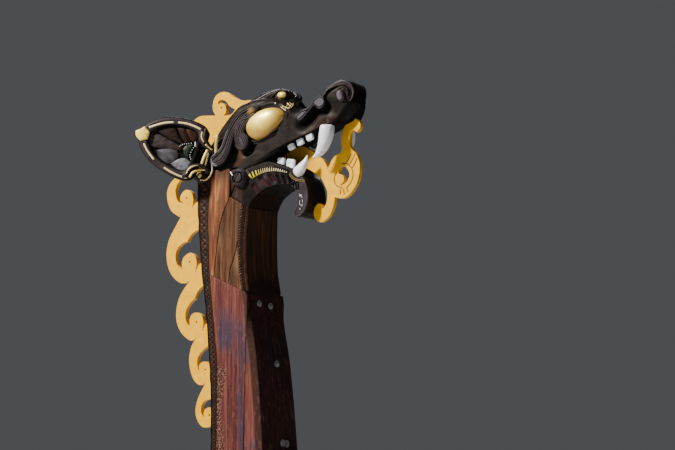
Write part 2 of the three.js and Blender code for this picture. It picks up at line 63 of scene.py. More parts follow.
# Neck by height: z, back, front, half width of the front face, half width, bevel, width of the carved band
NECK = np.array([
    (0, -203, 212, 186, 200, 46, 42), (380, -206, 180, 179, 197, 46, 46),
    (640, -226, 150, 175, 195, 46, 62), (860, -248, 108, 170, 195, 44, 58),
    (1063, -272, 80, 164, 195, 42, 56), (1210, -298, 55, 158, 192, 48, 62),
    (1400, -320, 50, 157, 189, 52, 74), (1580, -340, 60, 146, 184, 50, 80),
    (1705, -347, 75, 140, 180, 50, 96), (1880, -348, 90, 138, 178, 50, 112)], float)
# Seams between back and front timbers: z, x
LOWER_SEAM = np.array([(0, 60), (380, 64), (640, 72), (1063, 78), (1300, 80)], float)
UPPER_SEAM = np.array([(1000, -205), (1185, -198), (1372, -176), (1508, -158), (1598, -130), (1690, -80),
                       (1880, -80)], float)
# Slanted joints: x, z and rise in z for each step in x
SCARF = (-214, 1185, -0.43)
JAW_SEAT = (-100, 1705, -0.546)
# Drying cracks in the upper front timber: path in x and z, width, depth
TIMBER_CRACKS = [([(-5, 1394), (-18, 1340), (-40, 1275), (-62, 1222), (-75, 1135)], 3.0, 7.0),
                 ([(-90, 1660), (-104, 1560), (-122, 1470), (-128, 1380)], 3.5, 2.5)]
# Bolts in the front face, y and z, and the radius, rise and seat of a washer and of a head
BOLTS = [(-75, 993), (41, 984), (30, 610), (30, 104), (73, 98)]
BOLT_PARTS = [(25, 3, 0), (14, 9, 2)]

# Head sections by x: x, half width, bottom, top of the straight side, crown
UPPER_HEAD = np.array([
    (-348, 130, 1880, 1900, 1985), (-300, 158, 1880, 1935, 2070), (-232, 165, 1880, 1995, 2150),
    (-165, 165, 1880, 2080, 2230), (-100, 165, 1880, 2165, 2280), (-40, 165, 1880, 2225, 2320),
    (60, 165, 1880, 2262, 2340), (88, 165, 1881, 2265, 2342), (94, 165, 1906, 2266, 2343),
    (150, 165, 1925, 2270, 2345), (260, 160, 1964, 2262, 2330), (340, 145, 2002, 2225, 2296),
    (400, 128, 2026, 2168, 2242), (460, 118, 2047, 2152, 2242), (520, 110, 2065, 2186, 2280),
    (584, 104, 2092, 2238, 2338), (640, 100, 2106, 2280, 2381), (697, 97, 2104, 2308, 2400),
    (744, 90, 2112, 2312, 2396), (790, 82, 2126, 2290, 2374), (825, 68, 2165, 2270, 2335),
    (845, 50, 2190, 2250, 2300), (852, 30, 2210, 2238, 2280)], float)
JAW = np.array([
    (-79.7, 165, 1694, 1870, 1879.7), (83, 162, 1605, 1870, 1879.7), (98, 158, 1645, 1883, 1898),
    (150, 150, 1703, 1902, 1916), (210, 140, 1738, 1899, 1912), (270, 128, 1748, 1882, 1896),
    (340, 116, 1747, 1856, 1870), (425, 100, 1755, 1822, 1842)], float)
MASK = np.array([
    (-30, 50, 2250, 2300, 2348), (10, 60, 2250, 2315, 2364), (60, 74, 2250, 2325, 2379),
    (150, 86, 2250, 2335, 2396), (230, 88, 2250, 2335, 2399), (290, 80, 2250, 2320, 2379),
    (330, 62, 2245, 2285, 2339), (368, 38, 2235, 2250, 2288)], float)
# Fretwork boards in the middle plane, x and z: smooth stretches that meet at corners
MANE_EDGE = [
    [(-346, 1978), (-480, 1986), (-590, 1957), (-673, 1898), (-738, 1841), (-756, 1766), (-723, 1675),
     (-655, 1626), (-631, 1621)],
    [(-670, 1566), (-732, 1473), (-755, 1377), (-737, 1281), (-688, 1210), (-618, 1170), (-545, 1183)],
    [(-597, 1131), (-643, 1062), (-663, 981), (-657, 909), (-623, 845), (-576, 803), (-529, 783),
     (-483, 800)],
    [(-523, 752), (-545, 681), (-542, 610), (-520, 547), (-491, 507), (-450, 486), (-402, 498)],
    [(-438, 448), (-472, 387), (-489, 317), (-476, 264), (-447, 224), (-413, 208), (-373, 212), (-335, 237),
     (-320, 286), (-332, 322), (-363, 337), (-397, 331), (-417, 307), (-410, 266)],
    [(-439, 305), (-437, 351), (-409, 382), (-367, 392), (-300, 402), (-200, 408)],
    [(-208, 524)],
    [(-330, 522), (-370, 520)],
    [(-355, 550), (-352, 590), (-374, 625), (-406, 639), (-441, 634), (-462, 606), (-450, 570)],
    [(-471, 599), (-478, 644), (-464, 681), (-430, 715), (-385, 742), (-320, 757), (-230, 758)],
    [(-243, 890)],
    [(-340, 898), (-400, 893), (-437, 842)],
    [(-428, 900), (-442, 945), (-485, 967), (-525, 957), (-547, 920), (-540, 876)],
    [(-567, 898), (-583, 942), (-577, 987), (-544, 1032), (-503, 1064)],
    [(-478, 1108), (-440, 1140), (-380, 1152), (-286, 1152)],
    [(-309, 1284)],
    [(-400, 1296), (-465, 1290), (-502, 1236)],
    [(-491, 1301), (-504, 1344), (-549, 1371), (-602, 1344), (-618, 1306), (-610, 1260)],
    [(-658, 1297), (-676, 1360), (-652, 1413), (-605, 1444), (-574, 1445)],
    [(-560, 1468), (-530, 1500), (-480, 1522), (-420, 1527), (-335, 1527)],
    [(-346, 1690)],
    [(-430, 1712), (-498, 1706), (-533, 1671)],
    [(-527, 1705), (-526, 1736), (-540, 1776), (-584, 1800), (-627, 1776), (-640, 1738), (-610, 1712)],
    [(-650, 1720), (-674, 1758), (-681, 1808), (-650, 1862), (-580, 1893), (-480, 1906), (-347, 1898)],
    [(-346, 1978)],
]
MANE_SCREWS = [(-583, 1745), (-550, 1311), (-487, 905), (-408, 588), (-369, 288)]
CREST_EDGE = [
    [(0, 2352), (-57, 2354), (-102, 2357), (-155, 2375), (-201, 2403), (-239, 2427), (-277, 2434),
     (-316, 2427), (-346, 2402), (-361, 2361), (-359, 2319), (-337, 2280)],
    [(-400, 2287), (-461, 2290), (-500, 2281), (-527, 2263)],
    [(-548, 2225)],
    [(-430, 2150), (-352, 2052)],
    [(-335, 2012)],
    [(-250, 2040)],
    [(0, 2300)],
    [(0, 2352)],
]
CREST_HOLE = [
    [(-314, 2352), (-314, 2374), (-286, 2383), (-248, 2367), (-216, 2332), (-169, 2304)],
    [(-203, 2276), (-268, 2272)],
    [(-250, 2296), (-249, 2326), (-266, 2352), (-292, 2362), (-314, 2352)],
]
CREST_SCREW = (-289, 2330)
TONGUE_EDGE = [
    [(165, 1901), (255, 1897), (345, 1888), (430, 1853), (491, 1816), (536, 1781), (563, 1738), (583, 1695),
     (585, 1654), (577, 1619), (560, 1594), (538, 1588), (545, 1606), (530, 1620)],
    [(506, 1618), (484, 1596), (478, 1565), (484, 1535), (503, 1512), (536, 1500), (574, 1516), (607, 1545),
     (629, 1588), (640, 1628), (641, 1654)],
    [(678, 1643), (716, 1642), (754, 1659), (787, 1692), (814, 1730), (830, 1778), (836, 1831), (828, 1876),
     (809, 1914), (776, 1948), (760, 1981), (758, 2018), (763, 2049), (777, 2067), (796, 2068), (812, 2052)],
    [(836, 2074), (840, 2104), (822, 2131), (793, 2142), (760, 2137), (733, 2115), (711, 2085), (700, 2050),
     (695, 2015), (698, 1978), (706, 1951), (689, 1932), (651, 1920), (618, 1891), (602, 1861), (586, 1837)],
    [(580, 1858), (563, 1887), (541, 1910), (508, 1928), (460, 1968), (396, 2000), (320, 1995), (243, 1965),
     (165, 1949)],
    [(165, 1901)],
]
TONGUE_HOLE = [
    [(673, 1800), (676, 1827), (690, 1846), (717, 1844), (744, 1821), (757, 1793), (752, 1767), (733, 1741),
     (700, 1726), (676, 1724)],
    [(700, 1736), (712, 1756), (711, 1780), (695, 1792), (673, 1800)],
]
# Lines engraved on the tongue board: slashes on its upper curl, the spiral's two lines, rays under it
ENGRAVED = [
    [(738, 1872), (752, 1893), (769, 1918)], [(760, 1852), (780, 1880), (800, 1914)],
    [(781, 1828), (798, 1852), (814, 1884)],
    [(655, 1812), (640, 1776), (645, 1742), (668, 1716), (700, 1706)],
    [(700, 1866), (730, 1862), (760, 1842), (780, 1812), (784, 1776), (770, 1738), (742, 1708)],
    [(690, 1698), (686, 1664)], [(712, 1700), (716, 1664)], [(735, 1706), (746, 1676)],
]

# Carved straps on the head: x, z, half width, distance of the face from the middle plane
OUTER_LOBE = [(150, 2262, 10, 190), (97, 2248, 26, 198), (32, 2213, 35, 206), (-14, 2163, 38, 211),
              (-52, 2110, 36, 214), (-74, 2054, 38, 217), (-98, 1998, 42, 218), (-134, 1958, 48, 218),
              (-172, 1940, 44, 218)]
INNER_LOBE = [(122, 2214, 12, 194), (84, 2190, 25, 203), (44, 2168, 35, 209), (17, 2130, 41, 211),
              (12, 2092, 40, 211), (34, 2043, 57, 211)]
SNOUT_STRAP = [(444, 2174, 24, 132), (470, 2188, 24, 135), (492, 2198, 17, 136), (512, 2208, 12, 137),
               (536, 2226, 9, 138), (558, 2243, 10, 139), (580, 2250, 27, 139), (606, 2249, 42, 139)]
NOSE_RIM = [(612, 2284, 7, 113), (628, 2306, 8, 112), (650, 2330, 9, 109), (680, 2348, 12, 104),
            (712, 2359, 15, 99), (745, 2364, 16, 94), (780, 2360, 15, 86), (806, 2343, 14, 78),
            (819, 2315, 12, 73), (820, 2286, 10, 72), (811, 2260, 8, 74), (800, 2246, 6, 76)]
LIP_BAND = [(-8, 1866, 30, 171), (44, 1901, 40, 170), (110, 1933, 46, 168), (180, 1968, 48, 163),
            (255, 2007, 47, 155)]
# Carving of the upper head: grooves by path in x and z, width and depth, and the ridge over the eye
HEAD_GROOVES = [
    ([(464, 2122), (510, 2152), (560, 2203)], 33, 36),
    ([(606, 2198), (636, 2199), (648, 2218)], 20, 30),
    ([(630, 2250), (622, 2272), (629, 2296), (647, 2317), (670, 2333), (704, 2347)], 9, 22),
    ([(116, 2046), (100, 2018), (66, 1984), (36, 1972)], 20, 20),
]
BROW_RIDGE = [(121, 2252), (160, 2267), (227, 2280), (303, 2281), (350, 2248)]
# Sinkings of the lower jaw: path in x and z, width
JAW_SINKINGS = [
    ([(106, 1752), (152, 1702)], 22), ([(152, 1794), (226, 1730)], 24), ([(220, 1812), (242, 1778)], 17),
    ([(270, 1806), (290, 1758)], 13), ([(312, 1800), (332, 1755)], 12), ([(352, 1792), (366, 1758)], 9),
]
ROOT_CRACK = [(-79, 1709), (-67, 1733), (-22, 1812)]
SLITS = [[(357, 1800), (369, 1743)], [(374, 1772), (383, 1705)], [(395, 1763), (400, 1710)],
         [(416, 1747), (416, 1711)]]
# Carving of the brow mask: path in x and z, width, height, which is below 0 for a groove
MASK_CARVING = [
    ([(40, 2316), (130, 2338), (200, 2362), (235, 2378)], 7, 6),
    ([(235, 2352), (270, 2318), (320, 2316), (344, 2338)], 7, -8),
    ([(60, 2296), (150, 2312), (215, 2335)], 7, -7),
    ([(80, 2280), (180, 2296), (250, 2296)], 9, 5),
]
# Gilt interlace between the eye and the mask, x and z
BROW_KNOTS = [
    [(317, 2247), (334, 2233), (350, 2222)], [(324, 2254), (347, 2243), (363, 2234)],
    [(328, 2263), (352, 2245), (370, 2239)], [(339, 2275), (355, 2261), (371, 2247)],
    [(342, 2280), (356, 2272), (364, 2266)], [(342, 2230), (348, 2245), (347, 2263)],
    [(363, 2235), (363, 2252), (356, 2271)], [(372, 2246), (366, 2262), (352, 2281)],
]
# Fangs: x, y, z and radius from root to tip, and their thickness as a share of their width
FANGS = {
    "upper_fang": ([(656, -106, 2102, 36), (655, -111, 2090, 46), (653, -116, 2045, 48),
                    (641, -118, 1998, 43), (622, -118, 1958, 35), (595, -117, 1928, 25),
                    (567, -117, 1911, 12), (542, -116, 1903, 3)], 1.0),
    "lower_fang": ([(396, -88, 1811, 33), (406, -89, 1820, 38), (430, -91, 1841, 34),
                    (452, -93, 1863, 28), (467, -94, 1882, 21), (477, -94, 1904, 12),
                    (483, -94, 1924, 3)], 0.85),
}
# Teeth: x, free end, root, half width, lean in degrees
UPPER_TEETH = [(352, 1973, 2036, 24, 19), (424, 1996, 2058, 24, 20), (500, 2019, 2078, 24, 20)]
LOWER_TEETH = [(274, 1930, 1868, 27, -8), (351, 1913, 1848, 30, -9)]
TOOTH = {"y": -90, "thick": 13}    # middle and half thickness, from side to side
# Eyes, nostril and jaw boss: outline or middle in x and z, distances from the middle plane, radius or
# half lengths, and tilt in degrees
EYE_EDGE = [[(340, 2168), (303, 2130), (255, 2092), (208, 2066), (150, 2048), (104, 2051), (63, 2075),
             (39, 2110), (34, 2141), (43, 2168), (67, 2193), (110, 2219), (158, 2238), (226, 2249),
             (293, 2244), (333, 2228), (354, 2201)]]
EYE = {"x": 190, "z": 2152, "base": 148, "out": 199}
MASK_EYE = {"x": 262, "y": -66, "z": 2342, "long": 38, "short": 25, "tilt": -8}
NOSTRIL = {"x": 758, "z": 2298, "r": 60}
HINGE = {"x": -4, "z": 1815, "r": 60, "base": 166, "outer": 202}
# Jaw comb and chin scroll: x, z, half width
COMB = [(74, 1806, 4), (81, 1817, 20), (105, 1829, 19), (128, 1838, 17), (160, 1846, 15), (189, 1851, 13),
        (225, 1852, 11.5), (258, 1849, 10), (295, 1841, 8), (325, 1831, 5.5), (345, 1824, 3)]
CHIN = [(390, 1774, 48), (426, 1740, 48), (445, 1691, 47), (448, 1640, 46), (438, 1597, 42), (417, 1568, 35)]
CHIN_HALF = 101.0        # half width of the chin scroll, from side to side
CHIN_FLECKS = [[(427, 1679), (433, 1666), (440, 1675), (446, 1655)], [(450, 1641), (452, 1628)],
               [(430, 1637), (428, 1625), (434, 1606)], [(449, 1613), (446, 1600)],
               [(433, 1588), (430, 1578)]]
# Cord round the lower fang's foot: x, y, z
FANG_COLLAR = [(360, -113, 1822), (373, -111, 1800), (401, -108, 1781), (435, -105, 1771), (466, -96, 1764)]
# Ear plane: base, end, and outlines given along and across the ear
EAR_BASE = np.array([-200.0, -200.0, 1985.0])
EAR_END = np.array([-655.0, -445.0, 2160.0])
EAR_RIM = [(70, 120), (110, 154), (177, 166), (262, 163), (345, 146), (419, 114), (486, 55), (522, -8),
           (508, -70), (463, -127), (404, -171), (329, -203), (259, -220), (188, -231), (116, -226),
           (75, -180), (60, -40)]
EAR_MIDDLE = np.array([265.0, -30.0])
EAR_HALF = 30.0          # half thickness of the ear
# Leaves of the ear: outline, then shares of purple-grey, stain and silver-grey
EAR_LEAVES = [
    ([(247, -146), (204, -103), (161, -90), (115, -121), (145, -171), (192, -169)], 0.4, 0.0, 1.0),
    ([(372, -93), (300, -62), (240, -58), (223, -98), (264, -149), (329, -132)], 0.05, 0.0, 0.28),
    ([(444, -64), (444, -27), (404, 10), (300, -6), (225, -22), (225, -46), (302, -58), (386, -76)],
     0.1, 0.25, 0.1),
    ([(412, 26), (398, 54), (339, 78), (300, 82), (270, 46), (217, 4), (288, 3), (340, 14)], 0.1, 0.2, 0.0),
    ([(290, 90), (262, 100), (238, 102), (205, 64), (177, 34), (196, 10), (240, 44)], 0.05, 0.35, 0.0),
    ([(230, 98), (204, 106), (163, 98), (136, 78), (141, 38), (171, 40), (200, 66)], 0.05, 0.6, 0.0),
]
# Gilt inlays of the ear's rim: path, then shares of pale and amber
EAR_INLAYS = [
    ([(457, 37), (421, 63), (378, 90), (321, 114)], 0.9, 0.0),
    ([(281, 124), (228, 133), (168, 131), (110, 122)], 0.7, 0.0),
    ([(456, -82), (417, -119), (365, -155)], 0.6, 0.1),
    ([(273, -190), (221, -202), (165, -209), (118, -208)], 0.5, 0.5),
]
EAR_TIP = [[(492, 31)], [(448, 5)], [(447, -43)], [(489, -68)], [(526, -47), (541, -15)], [(492, 31)]]
EAR_BOSS = [[(192, -1)], [(143, 26)], [(144, -38), (151, -87)], [(188, -64)], [(206, -34)], [(192, -1)]]
# Rows of white beads on the ear: path, number of beads
EAR_BEADS = [([(228, -24), (214, -5), (189, 6), (161, 20)], 7),
             ([(136, -4), (143, -32), (142, -61), (129, -80)], 6)]
# Cords of the ear's knot, dark and gilt: path, radius, height over the ear's front
KNOT_CORDS = [
    ([(132, -200), (121, -187), (116, -151), (92, -120), (52, -101), (21, -106), (4, -122)], 15, 6),
    ([(0, -40), (-4, -61), (-24, -100), (-23, -147), (0, -183), (29, -198), (58, -186)], 15, 0),
    ([(117, 118), (117, 103), (109, 71), (85, 44), (47, 21), (8, 6)], 15, 4),
    ([(92, 128), (89, 107), (83, 74), (54, 48), (24, 30), (-4, 26)], 13, 10),
    ([(36, 8), (38, -43), (40, -92)], 9, -18), ([(18, 14), (18, -43), (18, -100)], 13, -20),
    ([(100, -195), (80, -160), (60, -135), (30, -121)], 13, -2),
]
KNOT_GILDING = [
    ([(90, -192), (83, -163), (57, -135), (21, -119)], 7, 11), ([(46, -194), (37, -160)], 10, 2),
    ([(44, 10), (49, -43), (49, -85)], 9, 8), ([(58, 37), (19, 22)], 6.5, 20),
    ([(14, 112), (4, 60), (-14, 8)], 14, 18), ([(108, 106), (101, 76), (80, 52)], 5, 16),
    ([(-10, -70), (-24, -104), (-22, -146), (-2, -180), (26, -192)], 5.5, 12),
    ([(118, -180), (113, -152), (90, -121), (56, -102)], 4, 18),
]
KNOT_BEADS = [(34, -10), (29, -53), (28, -98)]


# Reading tables and making curves
def unit(v):
    """Vectors scaled to length one along the last axis."""
    return v / np.maximum(np.linalg.norm(v, axis=-1, keepdims=True), 1e-9)


def spline(rows, count):
    """Smooth curve through the rows: between two rows each column is the cubic whose slope at a row
    is half the difference of that row's neighbours."""
    p = np.asarray(rows, float)
    p = np.vstack([2 * p[0] - p[1], p, 2 * p[-1] - p[-2]])
    t = np.linspace(0, len(rows) - 1, count)
    i = np.minimum(t.astype(int), len(rows) - 2)
    f = (t - i)[:, None]
    a, b, c, d = p[i], p[i + 1], p[i + 2], p[i + 3]
    return b + f / 2 * (c - a + f * (2 * a - 5 * b + 4 * c - d + f * (3 * (b - c) + d - a)))


def read(table, key, ease=0.0):
    """Columns of a table at the given keys: straight lines between rows, eased by the mean of five
    readings spread over the ease distance."""
    shifts = np.linspace(-ease, ease, 5) if ease else [0.0]
    return [np.mean([np.interp(key + s, table[:, 0], table[:, k]) for s in shifts], axis=0)
            for k in range(1, table.shape[1])]


def outline(stretches, step=6.0):
    """Closed line through the stretches. Each is smooth inside, and begins at the end of the one before."""
    parts = []
    start = stretches[-1][-1]
    for stretch in stretches:
        points = np.array([start, *stretch], float)
        length = np.linalg.norm(np.diff(points, axis=0), axis=1).sum()
        if length > 1:
            parts.append(spline(points, max(2, int(length / step) + 1))[:-1])
        start = stretch[-1]
    return np.vstack(parts)


def distance(x, z, line):
    """Distance of each point from a line of straight pieces: the least over the pieces."""
    p = np.stack([np.ravel(x), np.ravel(z)], -1)[:, None]
    a, b = np.asarray(line, float)[:-1], np.asarray(line, float)[1:]
    along = np.clip(((p - a) * (b - a)).sum(-1) / np.maximum(((b - a) ** 2).sum(-1), 1e-9), 0, 1)
    return np.linalg.norm(p - a - along[..., None] * (b - a), axis=-1).min(1).reshape(np.shape(x))


def bell(d, width):
    """1 at no distance, falling smoothly and near 0 at twice the width."""
    return np.exp(-(d / width) ** 2)


def beside(x, z, line, width):
    """1 on a line and falling smoothly beside it: a bell of the distance."""
    return bell(distance(x, z, line), width)


def step_down(d, edge, soft):
    """1 inside the edge distance and 0 outside, with a smooth fall of the given softness."""
    t = np.clip((edge - d) / soft + 0.5, 0, 1)
    return t * t * (3 - 2 * t)


def within(x, z, line, edge, soft):
    """1 within the edge distance of a line and 0 outside, with a smooth fall."""
    return step_down(distance(x, z, line), edge, soft)


def quarter(t):
    """Height of a quarter circle: 0 at 0, rising to 1 at 1 and beyond."""
    return np.sqrt(1 - (1 - np.clip(t, 0, 1)) ** 2)


def powered(t, power):
    """Values raised to a power by their size, with their sign kept."""
    return np.sign(t) * np.abs(t) ** power


def circle(count):
    """Even angles round a circle."""
    return np.linspace(0, 2 * math.pi, count, endpoint=False)


def turned(u, v, degrees):
    """The point (u, v) turned about the origin by an angle."""
    c, s = math.cos(math.radians(degrees)), math.sin(math.radians(degrees))
    return u * c - v * s, u * s + v * c


def ripple(points, scale, seed):
    """Smooth unevenness, mostly from -1 to 1: twice the mean of eight sine waves of seeded direction and
    phase."""
    rng = np.random.default_rng(seed)
    waves = rng.normal(size=(8, 3)) / scale
    return np.sin(points @ waves.T + rng.uniform(0, 6.28, 8)).mean(-1) * 2


# Shapes: points, faces in groups of equal corners, and values for each point
def shape(points, faces, **fields):
    """Points, groups of faces, and values for the points, where one value may stand for all of them."""
    points = np.asarray(points, float).reshape(-1, 3)
    full = {key: np.broadcast_to(np.asarray(value, float).ravel(), len(points))
            for key, value in fields.items()}
    return {"points": points, "faces": [np.asarray(f, int) for f in faces], "fields": full}


def surface(grid, loop=False, **fields):
    """Closed body from rings of points: four-sided faces between neighbouring rings, and a lid on each
    end ring. With loop, the last ring joins the first and there is no lid."""
    rows, columns = grid.shape[:2]
    a = np.arange(rows * columns).reshape(rows, columns)
    b = np.roll(a, -1, axis=1)
    if loop:
        quads = np.stack([a, b, np.roll(b, -1, axis=0), np.roll(a, -1, axis=0)], -1).reshape(-1, 4)
        return shape(grid, [quads], **fields)
    quads = np.stack([a[:-1], b[:-1], b[1:], a[1:]], -1).reshape(-1, 4)
    return shape(grid, [quads, a[:1, ::-1], a[-1:]], **fields)


def merged(shapes):
    """One shape from several, with missing values taken as 0."""
    keys = sorted({key for s in shapes for key in s["fields"]})
    offsets = np.cumsum([0] + [len(s["points"]) for s in shapes])
    faces = [f + o for s, o in zip(shapes, offsets) for f in s["faces"]]
    fields = {k: np.concatenate([s["fields"].get(k, np.zeros(len(s["points"]))) for s in shapes])
              for k in keys}
    return shape(np.vstack([s["points"] for s in shapes]), faces, **fields)


def surface_fields(s, **fields):
    """The same shape with further values for its points."""
    return shape(s["points"], s["faces"], **{**s["fields"], **fields})


def mirrored(s):
    """The same shape on the other side of the middle plane."""
    return shape(s["points"] * (1, -1, 1), [f[:, ::-1] for f in s["faces"]], **s["fields"])


def add_piece(name, s, look, slot, nodes=(), bevel=0.0):
    """Puts a shape into the scene in metres, facing outwards, with doubled points merged and, where a
    bevel is given, its sharp edges rounded."""
    mesh = bpy.data.meshes.new(name)
    loops = np.concatenate([f.ravel() for f in s["faces"]])
    sizes = np.concatenate([np.full(len(f), f.shape[1]) for f in s["faces"]])
    mesh.vertices.add(len(s["points"]))
    mesh.vertices.foreach_set("co", (s["points"] * MM).ravel())
    mesh.loops.add(len(loops))
    mesh.loops.foreach_set("vertex_index", loops)
    mesh.polygons.add(len(sizes))
    mesh.polygons.foreach_set("loop_start", np.cumsum(sizes) - sizes)
    mesh.update(calc_edges=True)
    for key, values in s["fields"].items():
        mesh.attributes.new(key, "FLOAT", "POINT").data.foreach_set("value", values)
    clean_mesh(mesh)
    mesh.polygons.foreach_set("use_smooth", np.ones(len(mesh.polygons), bool))
    mesh.set_sharp_from_angle(angle=math.radians(CRISP_EDGE))
    piece = bpy.data.objects.new(name, mesh)
    bpy.context.scene.collection.objects.link(piece)
    mesh.materials.append(look)
    if bevel:
        rounding = piece.modifiers.new("rounded_edges", "BEVEL")
        rounding.width = bevel * MM
        rounding.segments = 2
        rounding.limit_method = "ANGLE"
        rounding.angle_limit = math.radians(ROUNDED_EDGE)
        rounding.harden_normals = True
    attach(piece, "root")
    if nodes:
        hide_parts(*nodes)


def clean_mesh(mesh):
    """Merges doubled points, drops faces with no area and turns the body's faces outwards."""
    bm = bmesh.new()
    bm.from_mesh(mesh)
    bmesh.ops.remove_doubles(bm, verts=bm.verts, dist=SAME_POINT)
    bmesh.ops.dissolve_degenerate(bm, edges=bm.edges, dist=NO_LENGTH)
    if bm.calc_volume(signed=True) < 0:
        bmesh.ops.reverse_faces(bm, faces=bm.faces)
    bm.to_mesh(mesh)
    bm.free()


def add_pair(name, s, look, slot, nodes=(), **options):
    """The right piece and its mirror on the left. Nodes are named without their side."""
    add_piece(f"{name}_right", s, look, slot, [f"{n}_right" for n in nodes], **options)
    add_piece(f"{name}_left", mirrored(s), look, slot, [f"{n}_left" for n in nodes], **options)


# Surfaces that several pieces share
def grid_normals(grid):
    """Outward direction at each point of a ring grid: the cross product of its two directions, turned
    away from the middle of its ring."""
    along = np.gradient(grid, axis=0)
    around = np.roll(grid, -1, axis=1) - np.roll(grid, 1, axis=1)
    n = unit(np.cross(around, along))
    out = (n * (grid - grid.mean(1, keepdims=True))).sum(-1, keepdims=True).mean(1, keepdims=True)
    return n * np.where(out < 0, -1, 1)


def across_path(path):
    """Direction square to a flat path at each point: the path's own direction turned by a quarter."""
    ahead = unit(np.gradient(path[:, :2], axis=0))
    return np.stack([-ahead[:, 1], ahead[:, 0]], -1)


def round_end(row, inner, count):
    """Rows beyond a path's end row, whose half width falls as a circle's chord."""
    turn = np.linspace(0, math.pi / 2, count)[1:, None]
    ahead = unit(row[:2] - inner[:2])
    half = np.maximum(row[2] * np.cos(turn), 1e-4)
    rest = np.broadcast_to(row[3:], (len(turn), len(row) - 3))
    return np.hstack([row[:2] + ahead * row[2] * np.sin(turn), half, rest])


def ribbon(path, columns):
    """Points across a path of x, z and half width, closer together towards its edges, and how far each
    lies from the nearer edge."""
    s = np.sin(np.linspace(-math.pi / 2, math.pi / 2, columns))
    flat = path[:, None, :2] + across_path(path)[:, None] * (path[:, None, 2:3] * s[:, None])
    return flat, path[:, 2:3] * (1 - np.abs(s))


def with_walls(top, wall=0.0):
    """Values of a strip's top, and after them one value for the feet of its two walls."""
    return np.hstack([top, np.full((len(top), 2), wall)])


def strap(rows, root, shoulder=12.0, grooves=(), columns=33, steps=8, hollow=0.0, sheen=0.0,
          worn=0.8, silver=0.0):
    """Carved strap along a smooth path in x and z, given by x, z, half width and outer distance. Both ends
    are round: beyond the end rows the half width falls as a circle's chord. The face is a quarter circle
    of the distance to the edge, less round grooves at set distances from it and a shallow middle hollow.
    Its edges go straight in to the root distance. Grooves and walls carry painted shade, the shoulder is
    lightened as wear and painted sheen, with sheen the whole face too, and the face may be silver-grey."""
    path = spline(rows, (len(rows) - 1) * steps + 1)
    path = np.vstack([round_end(path[0], path[1], 10)[::-1], path, round_end(path[-1], path[-2], 10)])
    flat, edge = ribbon(path, columns)
    carved = 0 * edge + sum(deep * bell(edge - at, wide) for at, wide, deep in grooves)
    middle = hollow * step_down(-edge, -2.2 * shoulder, 2 * shoulder)
    face = quarter(edge / shoulder)
    out = path[:, 3:4] - shoulder * (1 - face) - carved - middle
    # Shoulder lightened as wear and painted sheen; with sheen the whole face
    rub = np.maximum(face * bell(edge - shoulder, shoulder) * worn, sheen)
    top = np.stack([flat[..., 0], -out, flat[..., 1]], -1)
    low = top[:, [-1, 0]].copy()
    low[..., 1] = -root
    # Painted shade in the grooves and on the walls
    dark = with_walls(np.clip(carved / 4, 0, 0.8), 1.0)
    dark[:, [0, columns - 1]] = 1
    return surface(np.concatenate([top, low], axis=1), rub=with_walls(np.clip(rub - carved / 3, 0, 1)),
                   soot=dark, silver=with_walls(silver * np.clip(1 - carved / 3, 0, 1)))


def tube(path, radius, facing=(0.0, -1.0, 0.0), sides=10, flat=1.0):
    """Round-ended cord along a path: at each point a circle of the radius stands across the path, pressed
    by flat towards the facing direction. The end radii fall as a circle's chord. The field crown is 1
    along the side that faces out."""
    path = np.asarray(path, float)
    radius = np.broadcast_to(np.asarray(radius, float), len(path)).copy()
    ahead = unit(np.gradient(path, axis=0))
    turn = np.linspace(0, math.pi / 2, 5)[1:, None]
    first = path[:1] - ahead[:1] * radius[0] * np.sin(turn)
    last = path[-1:] + ahead[-1:] * radius[-1] * np.sin(turn)
    fade = np.maximum(np.cos(turn[:, 0]), 1e-5)
    path = np.vstack([first[::-1], path, last])
    ahead = np.vstack([np.repeat(ahead[:1], 4, 0), ahead, np.repeat(ahead[-1:], 4, 0)])
    radius = np.concatenate([radius[0] * fade[::-1], radius, radius[-1] * fade])
    side = unit(np.cross(ahead, np.broadcast_to(np.asarray(facing, float), ahead.shape)))
    out = np.cross(side, ahead)
    a = circle(sides)
    crown = np.cos(a)
    ring = side[:, None] * np.sin(a)[:, None] + flat * out[:, None] * crown[:, None]
    grid = path[:, None] + radius[:, None, None] * ring
    return surface(grid, crown=np.broadcast_to(crown, grid.shape[:2]))


def ball(centres, radii):
    """Small balls of ten-sided rings: one unit ball carried to each centre and scaled."""
    lat = np.linspace(0, math.pi, 7)
    lon = circle(10)
    one = np.stack([np.outer(np.sin(lat), np.cos(lon)), np.outer(np.sin(lat), np.sin(lon)),
                    np.outer(np.cos(lat), np.ones(10))], -1)
    radii = np.broadcast_to(np.asarray(radii, float), len(centres))
    return merged([surface(one * r + np.asarray(c, float), crown=1.0) for c, r in zip(centres, radii)])


def shell_y(table, x, z):
    """Distance of a head surface from the middle plane at x and z: the straight side, or above it the
    dome, whose half width is the side's times the 0.8 power of the cosine of its rise."""
    half, _, side, crown = read(table, x, 20.0)
    rise = np.clip((z - side) / np.maximum(crown - side, 1e-6), 0, 1) ** 1.25
    return half * np.sqrt(np.maximum(1 - rise ** 2, 0)) ** 0.8


